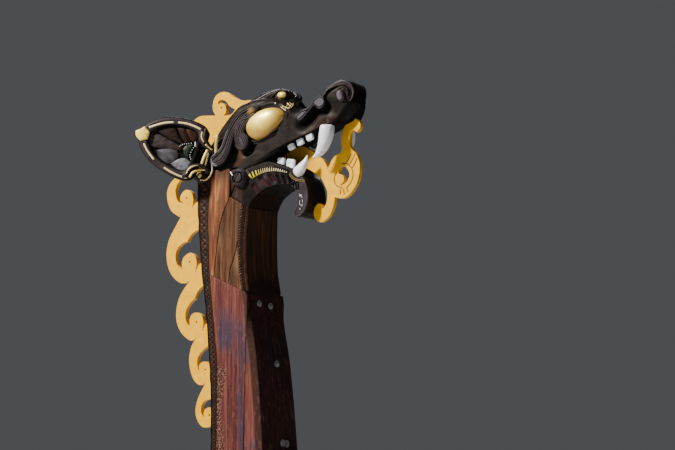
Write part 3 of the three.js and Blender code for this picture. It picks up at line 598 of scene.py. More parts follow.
def head_grid(table, xs, ease, corner, columns):
    """Rings of a head section along x: flat bottom with rounded corners, straight sides and a dome whose
    half width and rise follow the 0.8 power of cosine and sine."""
    half, bottom, side, crown = [c[:, None] for c in read(table, xs, ease)]
    down, dome = columns
    arc = np.linspace(0, math.pi / 2, 6)[None, :-1]
    up = np.linspace(0, 1, down, endpoint=False)[None]
    wall_y = np.hstack([-half + corner * (1 - np.sin(arc)), -half + 0 * up])
    wall_z = np.hstack([bottom + corner * (1 - np.cos(arc)),
                        bottom + corner + (side - bottom - corner) * up])
    a = math.pi - np.linspace(0, math.pi, dome)[None]
    dome_y = powered(np.cos(a), 0.8) * half
    dome_z = side + (crown - side) * np.sin(a) ** 0.8
    floor_y = half - corner + np.linspace(0, 1, 22)[None, 1:-1] * 2 * (corner - half)
    ys = np.hstack([wall_y, dome_y, -wall_y[:, ::-1], floor_y])
    zs = np.hstack([wall_z, dome_z, wall_z[:, ::-1], bottom + 0 * floor_y])
    return np.stack([np.broadcast_to(xs[:, None], ys.shape), ys, zs], -1)


# Materials
def linear(code):
    """Linear colour from an sRGB hex code: below 0.04045 a straight line, above it a power of 2.4."""
    c = np.array([int(code[i:i + 2], 16) / 255 for i in (1, 3, 5)])
    c = np.where(c <= 0.04045, c / 12.92, ((c + 0.055) / 1.055) ** 2.4)
    return (*c, 1.0)


def node(tree, kind, inputs=(), out=0, stops=(), **settings):
    """Adds a node and gives back one of its outputs. Settings are its own properties. An input is a value,
    an sRGB code or an output to link. Stops fill a colour ramp."""
    made = tree.nodes.new(kind)
    for key, value in settings.items():
        setattr(made, key, value)
    for key, value in dict(inputs).items():
        if isinstance(value, bpy.types.NodeSocket):
            tree.links.new(value, made.inputs[key])
        else:
            made.inputs[key].default_value = linear(value) if isinstance(value, str) else value
    for k, (at, code) in enumerate(stops):
        row = made.color_ramp.elements[k] if k < 2 else made.color_ramp.elements.new(at)
        row.position = at
        row.color = linear(code)
    return made.outputs[out]


def new_look(name, **settings):
    """A material: its tree, its surface shader, the place of a point, and the values kept on points."""
    look = bpy.data.materials.new(name)
    look.use_nodes = True
    tree = look.node_tree
    shader = next(n for n in tree.nodes if n.type == "BSDF_PRINCIPLED")
    names = {"ior": "IOR", "specular": "Specular IOR Level", "metallic": "Metallic"}
    for key, value in settings.items():
        shader.inputs[names[key]].default_value = value
    return look, tree, shader, node(tree, "ShaderNodeTexCoord", out="Object")


def pattern(tree, place, sizes, detail=4.0, rough=0.55, bend=0.0):
    """Cloudy pattern whose lumps have the given sizes in millimetres along X, Y and Z."""
    scaled = node(tree, "ShaderNodeMapping", {"Vector": place, "Scale": [1000 / s for s in sizes]})
    return node(tree, "ShaderNodeTexNoise", {"Vector": scaled, "Scale": 1.0, "Detail": detail,
                                             "Roughness": rough, "Distortion": bend})


def coated(tree, colour, coats):
    """Lays coats over a colour. A coat shows from one value of its pattern and is full at another, where
    it covers the given share."""
    for value, start, full, share, code in coats:
        if isinstance(value, str):
            value = node(tree, "ShaderNodeAttribute", out="Fac", attribute_name=value)
        amount = node(tree, "ShaderNodeMapRange", {0: value, 1: start, 2: full, 3: 0.0, 4: share})
        colour = node(tree, "ShaderNodeMix", {0: amount, 6: colour, 7: code}, 2, data_type="RGBA")
    return colour


def finish_look(tree, shader, colour, gloss, height, depth):
    """Links the colour, a bump of the given depth in millimetres, and a roughness that runs from low to
    high as the gloss pattern goes from 0.3 up to 0.7, or to the number given last."""
    value, low, high, end = (*gloss, 0.7)[:4]
    tree.links.new(colour, shader.inputs["Base Color"])
    rough = node(tree, "ShaderNodeMapRange", {0: value, 1: 0.3, 2: end, 3: low, 4: high})
    tree.links.new(rough, shader.inputs["Roughness"])
    bump = node(tree, "ShaderNodeBump", {"Height": height, "Strength": 1.0, "Distance": depth * MM}, "Normal")
    tree.links.new(bump, shader.inputs["Normal"])


def tarred_oak():
    """Oak carved with gouges and tarred: near-black brown with a low gloss. Raised edges are lightened to a
    dusty purple-grey as wear and painted sheen. Some places show red-brown wood, crimson paint, old gilding,
    silver-grey wood with painted highlight, and near-black painted shade in hollows and under overhangs."""
    look, tree, shader, place = new_look("tarred_oak", ior=1.5, specular=0.12)
    cloud = pattern(tree, place, (60, 60, 60))
    grain = pattern(tree, place, (90, 14, 14), 6.0, 0.65, 0.4)
    base = node(tree, "ShaderNodeValToRGB", {0: grain},
                stops=((0.3, "#070505"), (0.5, "#100C0C"), (0.74, "#1E1816")))
    worn = node(tree, "ShaderNodeMapRange", {0: cloud, 1: 0.3, 2: 0.6, 3: 0.35, 4: 0.85})
    # Coats: grain, wear with painted sheen, stain, silver-grey with painted highlight, crimson, painted
    # shade, gilt
    colour = coated(tree, base, ((grain, 0.54, 0.72, 0.45, "#2A1C15"), ("rub", 0.1, 1.0, worn, "#473E49"),
                                 ("stain", 0.0, 1.0, 0.85, "#371E10"), ("silver", 0.0, 1.0, 0.9, "#6C707C"),
                                 ("crimson", 0.0, 1.0, 0.97, "#24010C"), ("soot", 0.2, 0.9, 0.85, "#020202"),
                                 ("gilt", 0.1, 0.8, 0.85, "#877241")))
    dull = node(tree, "ShaderNodeAttribute", out="Fac", attribute_name="soot")
    dull = node(tree, "ShaderNodeMath", {0: cloud, 1: dull}, operation="ADD")
    finish_look(tree, shader, colour, (dull, 0.42, 1.0, 1.7), grain, 0.6)
    return look


def larch(name, dark, low, high, light):
    """Larch plank oiled and sunburnt: streaks along the grain, finer dark lines and drying cracks. The
    fine lines, 3.5 mm apart, are coarser than real so that they show."""
    look, tree, shader, place = new_look(name, ior=1.48, specular=0.12)
    streak = pattern(tree, place, (26, 26, 520), 5.0, 0.6, 0.6)
    fine = pattern(tree, place, (3.5, 3.5, 160), 3.0, 0.6, 0.3)
    patch = pattern(tree, place, (90, 90, 200), 4.0)
    check = pattern(tree, place, (9, 9, 900), 2.0, 0.5, 1.2)
    base = node(tree, "ShaderNodeValToRGB", {0: streak},
                stops=((0.32, dark), (0.45, low), (0.56, high), (0.7, light)))
    # Coats: fine lines, patches, bleached streaks, darkening with painted shade, painted shade on the front
    # faces, cracks
    colour = coated(tree, base, ((fine, 0.5, 0.68, 0.6, dark), (patch, 0.46, 0.64, 0.65, "#3A2A1F"),
                                 ("bleached", 0.0, 1.0, 0.7, "#9B7753"), ("grime", 0.0, 1.0, 0.92, "#251D17"),
                                 ("tarred", 0.0, 1.0, 0.9, "#080404"), (check, 0.29, 0.25, 1.0, "#0F0704")))
    finish_look(tree, shader, colour, (streak, 0.5, 0.66), fine, 1.0)
    return look


def red_stained_oak():
    """Oak stained red and weathered: brick red with streaks, washed to blue-grey in broad patches and to
    orange beside the band, and pitted with small dots near it."""
    look, tree, shader, place = new_look("red_stained_oak", ior=1.48, specular=0.12)
    streak = pattern(tree, place, (16, 16, 620), 6.0, 0.65, 0.5)
    fine = pattern(tree, place, (3.0, 3.0, 110), 3.0, 0.6, 0.3)
    crumb = pattern(tree, place, (9, 9, 9), 2.0, 0.6)
    flake = pattern(tree, place, (20, 20, 75), 6.0, 0.7, 0.5)
    # The fine lines stand 3 mm apart, the pits 13 mm, and the flakes are 20 mm wide: all are drawn coarser
    # than real so that they show
    cells = node(tree, "ShaderNodeMapping", {"Vector": place, "Scale": (75, 75, 62)})
    cell = node(tree, "ShaderNodeTexVoronoi", {"Vector": cells, "Scale": 1.0, "Randomness": 0.6}, "Distance")
    near_band = node(tree, "ShaderNodeAttribute", out="Fac", attribute_name="pitted")
    pit = node(tree, "ShaderNodeMath", {0: near_band, 1: cell}, operation="SUBTRACT")
    crest = node(tree, "ShaderNodeMath", {0: near_band, 1: cell}, operation="MULTIPLY")
    base = node(tree, "ShaderNodeValToRGB", {0: streak},
                stops=((0.3, "#281112"), (0.45, "#432122"), (0.56, "#5A2F2E"), (0.7, "#764740")))
    # Coats: blue-grey wash, orange, fine lines, pit rims, pits, darkening with painted shade, painted shade
    # on the front faces, flakes, crumbs
    colour = coated(tree, base, (("blue", 0.0, 1.0, 0.86, "#302A3C"), ("orange", 0.0, 1.0, 0.8, "#62361D"),
                                 (fine, 0.5, 0.7, 0.55, "#220909"), (crest, 0.42, 0.64, 0.5, "#7A6150"),
                                 (pit, 0.5, 0.68, 0.85, "#190B09"), ("grime", 0.0, 1.0, 0.9, "#231915"),
                                 ("tarred", 0.0, 1.0, 0.9, "#060405"), (flake, 0.56, 0.64, 0.28, "#86584E"),
                                 (crumb, 0.62, 0.72, 0.2, "#88604E")))
    finish_look(tree, shader, colour, (streak, 0.5, 0.7), fine, 1.0)
    return look


def gold_enamel():
    """Gloss enamel brushed on sawn board: warm yellow gold with faint brush marks, brown in the cuts. The
    marks are 4 mm wide, coarser than real so that they show."""
    look, tree, shader, place = new_look("gold_enamel", ior=1.5, specular=0.2)
    cloud = pattern(tree, place, (55, 55, 55))
    brush = pattern(tree, place, (60, 4, 4), 3.0)
    base = node(tree, "ShaderNodeValToRGB", {0: cloud},
                stops=((0.3, "#CC9800"), (0.5, "#D4A000"), (0.7, "#DCAA04")))
    colour = coated(tree, base, (("engraved", 1.0, 2.6, 0.85, "#5A3208"),
                                 ("shade", 0.0, 1.0, 0.92, "#170D03")))
    finish_look(tree, shader, colour, (brush, 0.36, 0.5), brush, 0.25)
    return look


def gold_leaf():
    """Gold leaf on wood, handled and glazed: pale cream gold, amber where glazed and as painted shade on the
    eyes and the ear tip.
    """
    look, tree, shader, place = new_look("gold_leaf", metallic=0.15)
    cloud = pattern(tree, place, (45, 45, 45), 5.0)
    spots = pattern(tree, place, (9, 9, 9), 2.0)
    base = node(tree, "ShaderNodeValToRGB", {0: cloud},
                stops=((0.3, "#F2D058"), (0.5, "#FCE264"), (0.7, "#FFF07C")))
    # Amber: glaze, and painted shade on the eyes and the ear tip
    colour = coated(tree, base, (("amber", 0.0, 0.8, 0.8, "#7A5214"), ("pale", 0.0, 1.0, 0.8, "#D8CCBC"),
                                 (spots, 0.7, 0.76, 0.6, "#5A3812")))
    finish_look(tree, shader, colour, (cloud, 0.28, 0.4), cloud, 0.5)
    return look


def white_enamel():
    """White gloss enamel on carved wood: cool white, a little yellowed and dirty towards the gums."""
    look, tree, shader, place = new_look("white_enamel", ior=1.52)
    cloud = pattern(tree, place, (24, 24, 60))
    base = node(tree, "ShaderNodeValToRGB", {0: cloud}, stops=((0.35, "#C4CEE2"), (0.6, "#E2EAFA")))
    colour = coated(tree, base, (("gum", 0.0, 1.0, 0.5, "#A39A92"), ("shade", 0.0, 1.0, 0.97, "#0C0A0A")))
    finish_look(tree, shader, colour, (cloud, 0.22, 0.36), cloud, 0.3)
    return look


def brushed_enamel(name, dark, light):
    """A small area of enamel in one colour, brushed on thin and thick, in some places chalked to cream."""
    look, tree, shader, place = new_look(name, ior=1.5, specular=0.2)
    cloud = pattern(tree, place, (18, 18, 18))
    base = node(tree, "ShaderNodeValToRGB", {0: cloud}, stops=((0.35, dark), (0.6, light)))
    colour = coated(tree, base, (("pale", 0.0, 1.0, 0.85, "#D8D4B8"),))
    finish_look(tree, shader, colour, (cloud, 0.4, 0.55), cloud, 0.4)
    return look


TARRED_OAK = tarred_oak()
ORANGE_LARCH = larch("orange_larch", "#2A160E", "#59331F", "#77472D", "#AC7748")
BROWN_LARCH = larch("brown_larch", "#1A100A", "#3B2315", "#533421", "#704B31")
RED_OAK = red_stained_oak()
GOLD_ENAMEL = gold_enamel()
GOLD_LEAF = gold_leaf()
WHITE_ENAMEL = white_enamel()
YELLOW_ENAMEL = brushed_enamel("yellow_enamel", "#9A9105", "#B2AA0B")
GREEN_ENAMEL = brushed_enamel("green_enamel", "#04100A", "#0C1E10")
DULL_ZINC = brushed_enamel("dull_zinc", "#505356", "#787C80")
RUSTED_STEEL = brushed_enamel("rusted_steel", "#2A180E", "#4A2C16")


# Neck timbers
def plan_ring(corners, radii, spacing):
    """Ring round a many-cornered plan at every level: straight runs, and at each corner the quadratic
    curve from one run to the next. corners is level, corner, (x, y)."""
    pieces = []
    count = corners.shape[1]
    for k in range(count):
        c, before, after = corners[:, k], corners[:, k - 1], corners[:, (k + 1) % count]
        a = c + unit(before - c) * radii[k]
        b = c + unit(after - c) * radii[k]
        for t in np.linspace(0, 1, 5):
            pieces.append((1 - t) ** 2 * a + 2 * t * (1 - t) * c + t * t * b)
        stop = after + unit(c - after) * radii[(k + 1) % count]
        runs = max(1, int(np.linalg.norm(stop - b, axis=-1).max() / spacing))
        pieces += [b + (stop - b) * t for t in np.linspace(0, 1, runs + 1)[1:-1]]
    return np.stack(pieces, 1)


def timber(corners, radii, low, high, spacing, rows):
    """Upright timber between two slanted ends. The plan ring is worked out at even heights, then every
    point slides up or down so that the ends lie on their slants, and takes its plan from its new height.
    The end rings draw in to round the edges."""
    levels = 376
    rings = plan_ring(corners(np.linspace(0.0, NECK_TOP, levels + 1)), radii, spacing)
    columns = np.arange(rings.shape[1])[None]
    inset = np.array([4.0, 1.2, 0.0])
    lift = np.array([0.0, 1.2, 4.5])
    t = np.linspace(0, 1, rows)[:, None]
    t = np.vstack([t[:1], t[:1], t[:1], t[1:-1], t[-1:], t[-1:], t[-1:]])
    shift = np.concatenate([lift, np.zeros(rows - 2), -lift[::-1]])[:, None]
    draw = np.concatenate([inset, np.zeros(rows - 2), inset[::-1]])[:, None, None]
    z = np.broadcast_to(900.0, (len(t), rings.shape[1]))
    for _ in range(5):
        at = np.clip(z / NECK_TOP * levels, 0, levels - 0.001)
        i = at.astype(int)
        f = (at - i)[..., None]
        plan = rings[i, columns] * (1 - f) + rings[i + 1, columns] * f
        z = low(plan[..., 0]) + shift + t * (high(plan[..., 0]) - low(plan[..., 0]))
    around = unit(np.roll(plan, -1, axis=1) - np.roll(plan, 1, axis=1))
    inward = np.stack([-around[..., 1], around[..., 0]], -1)
    middle = plan.mean(1, keepdims=True)
    inward = inward * np.where(((middle - plan) * inward).sum(-1).mean() < 0, -1, 1)
    plan = plan + inward * draw
    return np.concatenate([plan, z[..., None]], -1), np.concatenate([inward, 0 * z[..., None]], -1)


def slant(plane, lift=0.0):
    """Height of a slanted joint over x: its height at one place plus its rise for each step."""
    x0, z0, slope = plane
    return lambda x: z0 + lift + slope * (x - x0)


def level(height):
    """Height of a level end over x."""
    return lambda x: 0 * x + height


def neck(z):
    """The neck's table at a height, eased over 40 mm: back, front, half width of the front face, half
    width, bevel and width of the carved band."""
    return read(NECK, z, 40.0)


def seam_x(seam, z):
    """Where the seam lies at a height, kept off the band and off the front face."""
    back, front, _, _, _, band = neck(z)
    return np.clip(read(seam, z, 30.0)[0], back + band + SEAM + 4, front - 10)


def both_sides(half):
    """Corners of a whole plan from the (x, y) of its right half: level, corner, (x, y)."""
    return np.stack([np.stack(p, -1) for p in half + [(x, -y) for x, y in half[::-1]]], 1)


def back_plan(seam):
    """Plan of a back timber by height: from the back, past the rebate of the band, to the seam."""
    def corners(z):
        back, _, _, side, _, band = neck(z)
        x = seam_x(seam, z) - SEAM / 2
        edge = back + band + SEAM
        seat = side - BAND_SEAT
        return both_sides([(back, -seat), (edge, -seat), (edge, -side), (x, -side)])
    return corners


def front_plan(seam):
    """Plan of a front timber by height: from the seam to the bevel and the front face."""
    def corners(z):
        _, front, face, side, bevel, _ = neck(z)
        x = seam_x(seam, z) + SEAM / 2
        bevel = np.clip(bevel, 2, np.maximum(front - x - 4, 2))
        return both_sides([(x, -side), (front - bevel, -side), (front, -face)])
    return corners


def weathered(grid, inward, joint, cracks=(), seed=1):
    """Timber with slight hollows, about 1 mm deep, cracks along lines on its sides and a crack up the
    middle of the front. Its face in the joint has a full middle that meets the next timber, so that no
    light comes through."""
    x, y, z = grid[..., 0], grid[..., 1], grid[..., 2]
    deep = 0.8 + 0.8 * ripple(grid * (1, 1, 0.3), 60.0, seed)
    for line, width, depth in cracks:
        deep = deep + (np.abs(inward[..., 1]) > 0.7) * depth * beside(x, z, line, width)
    deep = deep + (np.abs(inward[..., 0]) > 0.7) * (x > 0) * 5.0 * bell(y, 2.5)
    deep = np.where(joint & (np.abs(y) < JOINT_HALF), -JOINT_FULL, deep)
    return grid + inward * deep[..., None]


def timber_fields(name, grid, inward, seed):
    """Shares of each stain and of painted shade on a timber, from the distance to the band, to the front
    corner, to lines on the side and to the ends, some of them unevenly."""
    x, z = grid[..., 0], grid[..., 2]
    back, front, _, _, bevel, band = neck(z)
    from_band = x - back - band
    side = np.abs(inward[..., 1])
    on_side = side > 0.7
    cloud = ripple(grid * (1, 1, 0.4), 40.0, seed + 9)
    orange = step_down(from_band, 22, 8) * step_down(-z, -700, 300) * np.clip(0.3 + side, 0, 1)
    blue = np.maximum(beside(x, z, [(-160, 900), (-90, 800), (60, 760), (60, 700)], 95),
                      0.8 * beside(x, z, [(56, 700), (30, 420), (62, 60), (160, 100)], 34))
    edge = np.clip((np.minimum(np.abs(inward[..., 0]), side) - 0.3) * 5, 0, 1)
    # Darker on the front chamfer and on a strip of the side beside it
    grime = np.maximum(edge * step_down(-x, 0, 20), 0.85 * on_side * step_down(front - bevel - x, 0, 10))
    bleached = 0.6 * on_side * beside(x, z, [(-150, 1850), (-168, 1760), (-186, 1680)], 7)
    if name == "wedge_timber":
        corner = step_down(np.abs(x - front + 60), 45, 30) * step_down(-z, -300, 300)
        orange = np.maximum(orange, 0.35 * corner)
    if name == "neck_back_timber":
        # Painted shadow of the head and jaw on the back timber's top
        shadow_under_head = np.maximum.reduce([
            step_down(1822 + 25 * cloud - z, 0, 90),
            0.75 * step_down(-112 - 12 * cloud - x, 0, 30) * step_down(1690 - z, 0, 60),
            0.4 * step_down(from_band, 34, 40) * step_down(-z, -1560, 160)])
        grime = np.maximum(grime, 0.8 * on_side * shadow_under_head)
    if name == "neck_front_timber":
        worn = step_down(np.abs(z - 1290 + 0.8 * (x + 40)), 60, 110) * (1 + cloud)
        bleached = np.maximum(bleached, 0.6 * on_side * worn)
    # The front faces carry painted shade, deeper below about 1150 mm
    return {"orange": orange, "blue": np.clip(blue * (1 + 0.9 * cloud) * 1.3 - 0.12, 0, 1),
            "pitted": on_side * step_down(from_band + 20 * cloud, 76, 50) * step_down(z, 640, 200),
            "grime": grime, "bleached": bleached,
            "tarred": (inward[..., 0] < -0.7) * (0.45 + 0.4 * step_down(z, 1150 + 40 * cloud, 90))}


def build_neck():
    """Four timbers: a post and a wedge below the scarf, a back and a front timber above it. The cracked one
    has closer rings and columns."""
    scarf_low, scarf_high = slant(SCARF, -SEAM / 2), slant(SCARF, SEAM / 2)
    for seed, (name, node_name, plan, radii, ends, cracks, look, slot) in enumerate((
        ("post_timber", "neck_lower_post", back_plan(LOWER_SEAM), (5, 1, 2, 5), (level(0), scarf_low), (),
         RED_OAK, "red_stained_timber"),
        ("wedge_timber", "neck_lower_front", front_plan(LOWER_SEAM), (5, 4, 6), (level(0), scarf_low), (),
         RED_OAK, "red_stained_timber"),
        ("neck_back_timber", "neck_upper_back", back_plan(UPPER_SEAM), (5, 1, 3, 9),
         (scarf_high, level(NECK_TOP)), (), ORANGE_LARCH, "brown_timber"),
        ("neck_front_timber", "neck_upper_front", front_plan(UPPER_SEAM), (9, 4, 6),
         (scarf_high, slant(JAW_SEAT, -SEAM)), TIMBER_CRACKS, BROWN_LARCH, "brown_timber"),
    )):
        spacing, rows = (3.6, 135) if cracks else (8.0, 90)
        grid, inward = timber(plan, (*radii, *radii[::-1]), *ends, spacing, rows)
        joint = inward[..., 0] * (1 if "front" in node_name else -1) > 0.7
        solid = weathered(grid, inward, joint, cracks, seed)
        add_piece(name, surface(solid, **timber_fields(name, grid, inward, seed)), look, slot, [node_name])


def build_corner_carving():
    """Dark carved strip on each front corner of the upper timber. Beside the side face, small chevrons run
    up it, a cosine of the height plus the distance from their middle. Beside the front is a round bead."""
    pitch = 17.0
    z = np.arange(1072.0, 1642.0, 2.4)
    _, front, face, side, bevel, _ = [c[:, None] for c in neck(z)]
    z = z[:, None]
    t = np.linspace(0.03, 0.97, 27)[None]
    x = front - bevel + t * bevel
    y = side + t * (face - side)
    out = unit(np.stack([side - face, bevel, 0 * face], -1))
    rough = ripple(np.stack([x, y, z + 0 * x], -1), 12.0, 21)
    chevron = 2.2 + 2.2 * np.cos((z + 16 * np.abs(4 * t - 1)) / pitch * 2 * math.pi + 1.5 * rough)
    bead = 3.4 * np.sqrt(np.clip(1 - ((t - 0.78) / 0.2) ** 2, 0, 1)) + 0.8 * rough
    relief = np.where(t < 0.56, chevron, bead)
    lift = np.clip(np.minimum(t, 1 - t) * 20, 0, 1) * (2.4 + relief)
    top = np.stack([x + out[..., 0] * lift, -(y + out[..., 1] * lift), z + 0 * x], -1)
    low = top[:, [-1, 0]] - np.stack([out[..., 0], -out[..., 1], 0 * out[..., 0]], -1) * 5
    rub = with_walls(np.where(t < 0.56, relief / 14, 0.15))
    stain = with_walls(np.clip(0.5 + 0.15 * (t > 0.56) + 0.25 * rough, 0, 1))
    add_pair("corner_carving", surface(np.concatenate([top, low], 1), rub=rub, stain=stain), TARRED_OAK,
             "dark_carving")


def build_bolts():
    """Bolts in the front face: a washer and a domed head, each a dome of rings turned to face ahead."""
    parts = []
    for y, z in BOLTS:
        x = float(neck(np.array([z]))[1][0])
        for r, rise, seat in BOLT_PARTS:
            dome = dome_grid((z, 0, -y), r, rise, 1)
            parts.append(surface(np.stack([x + seat + dome[..., 1], -dome[..., 2], dome[..., 0]], -1)))
    add_piece("front_bolts", merged(parts), DULL_ZINC, "red_stained_timber")


def build_bands():
    """Plaited band: three strands whose middles swing as sines a third of a turn apart. A strand is a
    half-round cord, raised where it crosses over, and a plain rim borders each side. A strand swings once
    in 1.6 times the band's width."""
    z = np.linspace(0.0, BAND_TOP, 480)
    back, _, _, side, _, band = [c[:, None] for c in neck(z)]
    s = np.linspace(-1, 1, 45)[None]
    turn = np.cumsum(z[1] * 2 * math.pi / (1.6 * band[:, 0]))[:, None]
    x = back + band * (s + 1) / 2
    z = z[:, None] + 0 * x
    height = 0 * x + np.clip((np.abs(s) - 0.86) / 0.05, 0, 1)
    for k in range(3):
        phase = turn + k * 2 * math.pi / 3
        off = (s - 0.54 * np.sin(phase)) / 0.26
        cord = np.sqrt(np.maximum(1 - off ** 2, 0)) * (0.72 + 0.28 * np.cos(2 * phase))
        height = np.maximum(height, cord)
    decay = ripple(np.stack([x, 0 * x, z], -1), 16.0, 17)
    height = height * np.clip(0.8 + 0.5 * decay, 0.3, 1)
    y = -(side + 2.8 - 7.0 * (1 - height))
    top = np.stack([x, y, z], -1)
    low = top[:, [-1, 0]].copy()
    low[..., 1] = -(side - BAND_SEAT + 0.5)
    worn = 0.55 + 0.45 * ripple(top, 9.0, 4)
    rub = with_walls(0.4 * height ** 4 * worn)
    stain = with_walls(np.clip(0.4 + 0.4 * decay, 0, 1))
    add_pair("edge_band_carving", surface(np.concatenate([top, low], 1), rub=rub, stain=stain), TARRED_OAK,
             "dark_carving", ["edge_band"])


# Fretwork boards
def inside(points, line):
    """Which points lie inside a closed line: a ray to the right crosses it an odd number of times."""
    a, b = line, np.roll(line, -1, axis=0)
    x, z = points[:, :1], points[:, 1:]
    spans = (a[:, 1] > z) != (b[:, 1] > z)
    rise = np.where(b[:, 1] == a[:, 1], 1e-9, b[:, 1] - a[:, 1])
    reach = (b[:, 0] - a[:, 0]) * (z - a[:, 1]) / rise + a[:, 0]
    return (spans & (x < reach)).sum(1) % 2 == 1


def nearest(points, lines):
    """Distance of each point from the nearest of several lines."""
    return np.min([distance(points[:, 0], points[:, 1], line) for line in lines], axis=0)


def board(edge, holes=(), engraved=()):
    """Sawn board between two faces: its outline and holes are filled with triangles, the two faces stand
    half a thickness from the middle plane, and walls join their edges. Engraved lines sink the faces by
    a bell of the distance to the line."""
    loops = [outline(edge), *[outline(h, 4.0) for h in holes]]
    points = np.vstack(loops)
    starts = np.cumsum([0] + [len(line) for line in loops])
    rims = [list(range(a, b)) for a, b in zip(starts[:-1], starts[1:])]
    lines = [spline(line, 6 * len(line)) for line in engraved]
    if lines:
        low, high = np.vstack(lines).min(0) - 12, np.vstack(lines).max(0) + 12
        xs, zs = np.arange(low[0], high[0], 2.4), np.arange(low[1], high[1], 2.4)
        grid = np.stack(np.meshgrid(xs, zs), -1).reshape(-1, 2)
        clear = nearest(grid, [np.vstack([line, line[:1]]) for line in loops])
        grid = grid[(nearest(grid, lines) < 8) & (clear > 3.5) & inside(grid, loops[0])]
        for hole in loops[1:]:
            grid = grid[~inside(grid, hole)]
        points = np.vstack([points, grid])
    filled = geometry.delaunay_2d_cdt([Vector(p) for p in points], [], rims, 2, 1e-5)
    flat = np.array([tuple(v) for v in filled[0]])
    tris = np.array([f if len(f) == 3 else f[:3] for f in filled[2]])
    n = len(flat)
    sunk = ENGRAVED_DEEP * bell(nearest(flat, lines), ENGRAVED_WIDE) if lines else np.zeros(n)
    front = np.stack([flat[:, 0], sunk - BOARD_HALF, flat[:, 1]], -1)
    directed = np.vstack([tris[:, [0, 1]], tris[:, [1, 2]], tris[:, [2, 0]]])
    keys = np.sort(directed, axis=1) @ [n, 1]
    _, first, count = np.unique(keys, return_index=True, return_counts=True)
    rim = directed[first[count == 1]]
    walls = np.stack([rim[:, 1], rim[:, 0], rim[:, 0] + n, rim[:, 1] + n], -1)
    return shape(np.vstack([front, front * (1, -1, 1)]), [tris, tris[:, ::-1] + n, walls],
                 engraved=np.concatenate([sunk, sunk]))


def screw_heads(places, y, r=7.0):
    """Countersunk screw heads on both faces: a low dome on each place."""
    flats = [(x, side * y, z) for x, z in places for side in (-1, 1)]
    return merged([surface(dome_grid(p, r, 2.0, np.sign(p[1]))) for p in flats])


def dome_grid(place, r, rise, way):
    """Low round dome: rings shrink as a cosine while the height grows as a sine."""
    a = np.linspace(0, math.pi / 2, 5)[:, None]
    b = circle(16)[None]
    radius = r * np.cos(a)
    x = place[0] + radius * np.cos(b)
    z = place[2] + radius * np.sin(b)
    y = place[1] + way * rise * np.sin(a) + 0 * b
    lid = np.stack([x[:1], y[:1] - way * 2, z[:1]], -1)
    return np.concatenate([lid, np.stack([x, y, z], -1)])


def build_boards():
    """Mane, crest and tongue boards with their screws. The tongue carries painted shadow in the mouth: a step
    of a slanted distance from the throat."""
    tongue = board(TONGUE_EDGE, [TONGUE_HOLE], ENGRAVED)
    x, _, z = tongue["points"].T
    tongue["fields"]["shade"] = 0.8 * step_down(x + 0.5 * (1960 - z), 460, 120)
    for name, s, nodes in (
        ("mane_fretwork", board(MANE_EDGE), [f"mane_scroll_{k}" for k in range(1, 6)]),
        ("crest_fretwork", board(CREST_EDGE, [CREST_HOLE]), ["crest_scroll"]),
        ("tongue_fretwork", tongue, ["tongue_board"]),
    ):
        add_piece(name, s, GOLD_ENAMEL, "gold_paint", nodes, bevel=2.0)
    screws = screw_heads(MANE_SCREWS + [CREST_SCREW], BOARD_HALF)
    add_piece("board_screws", screws, RUSTED_STEEL, "dark_carving")


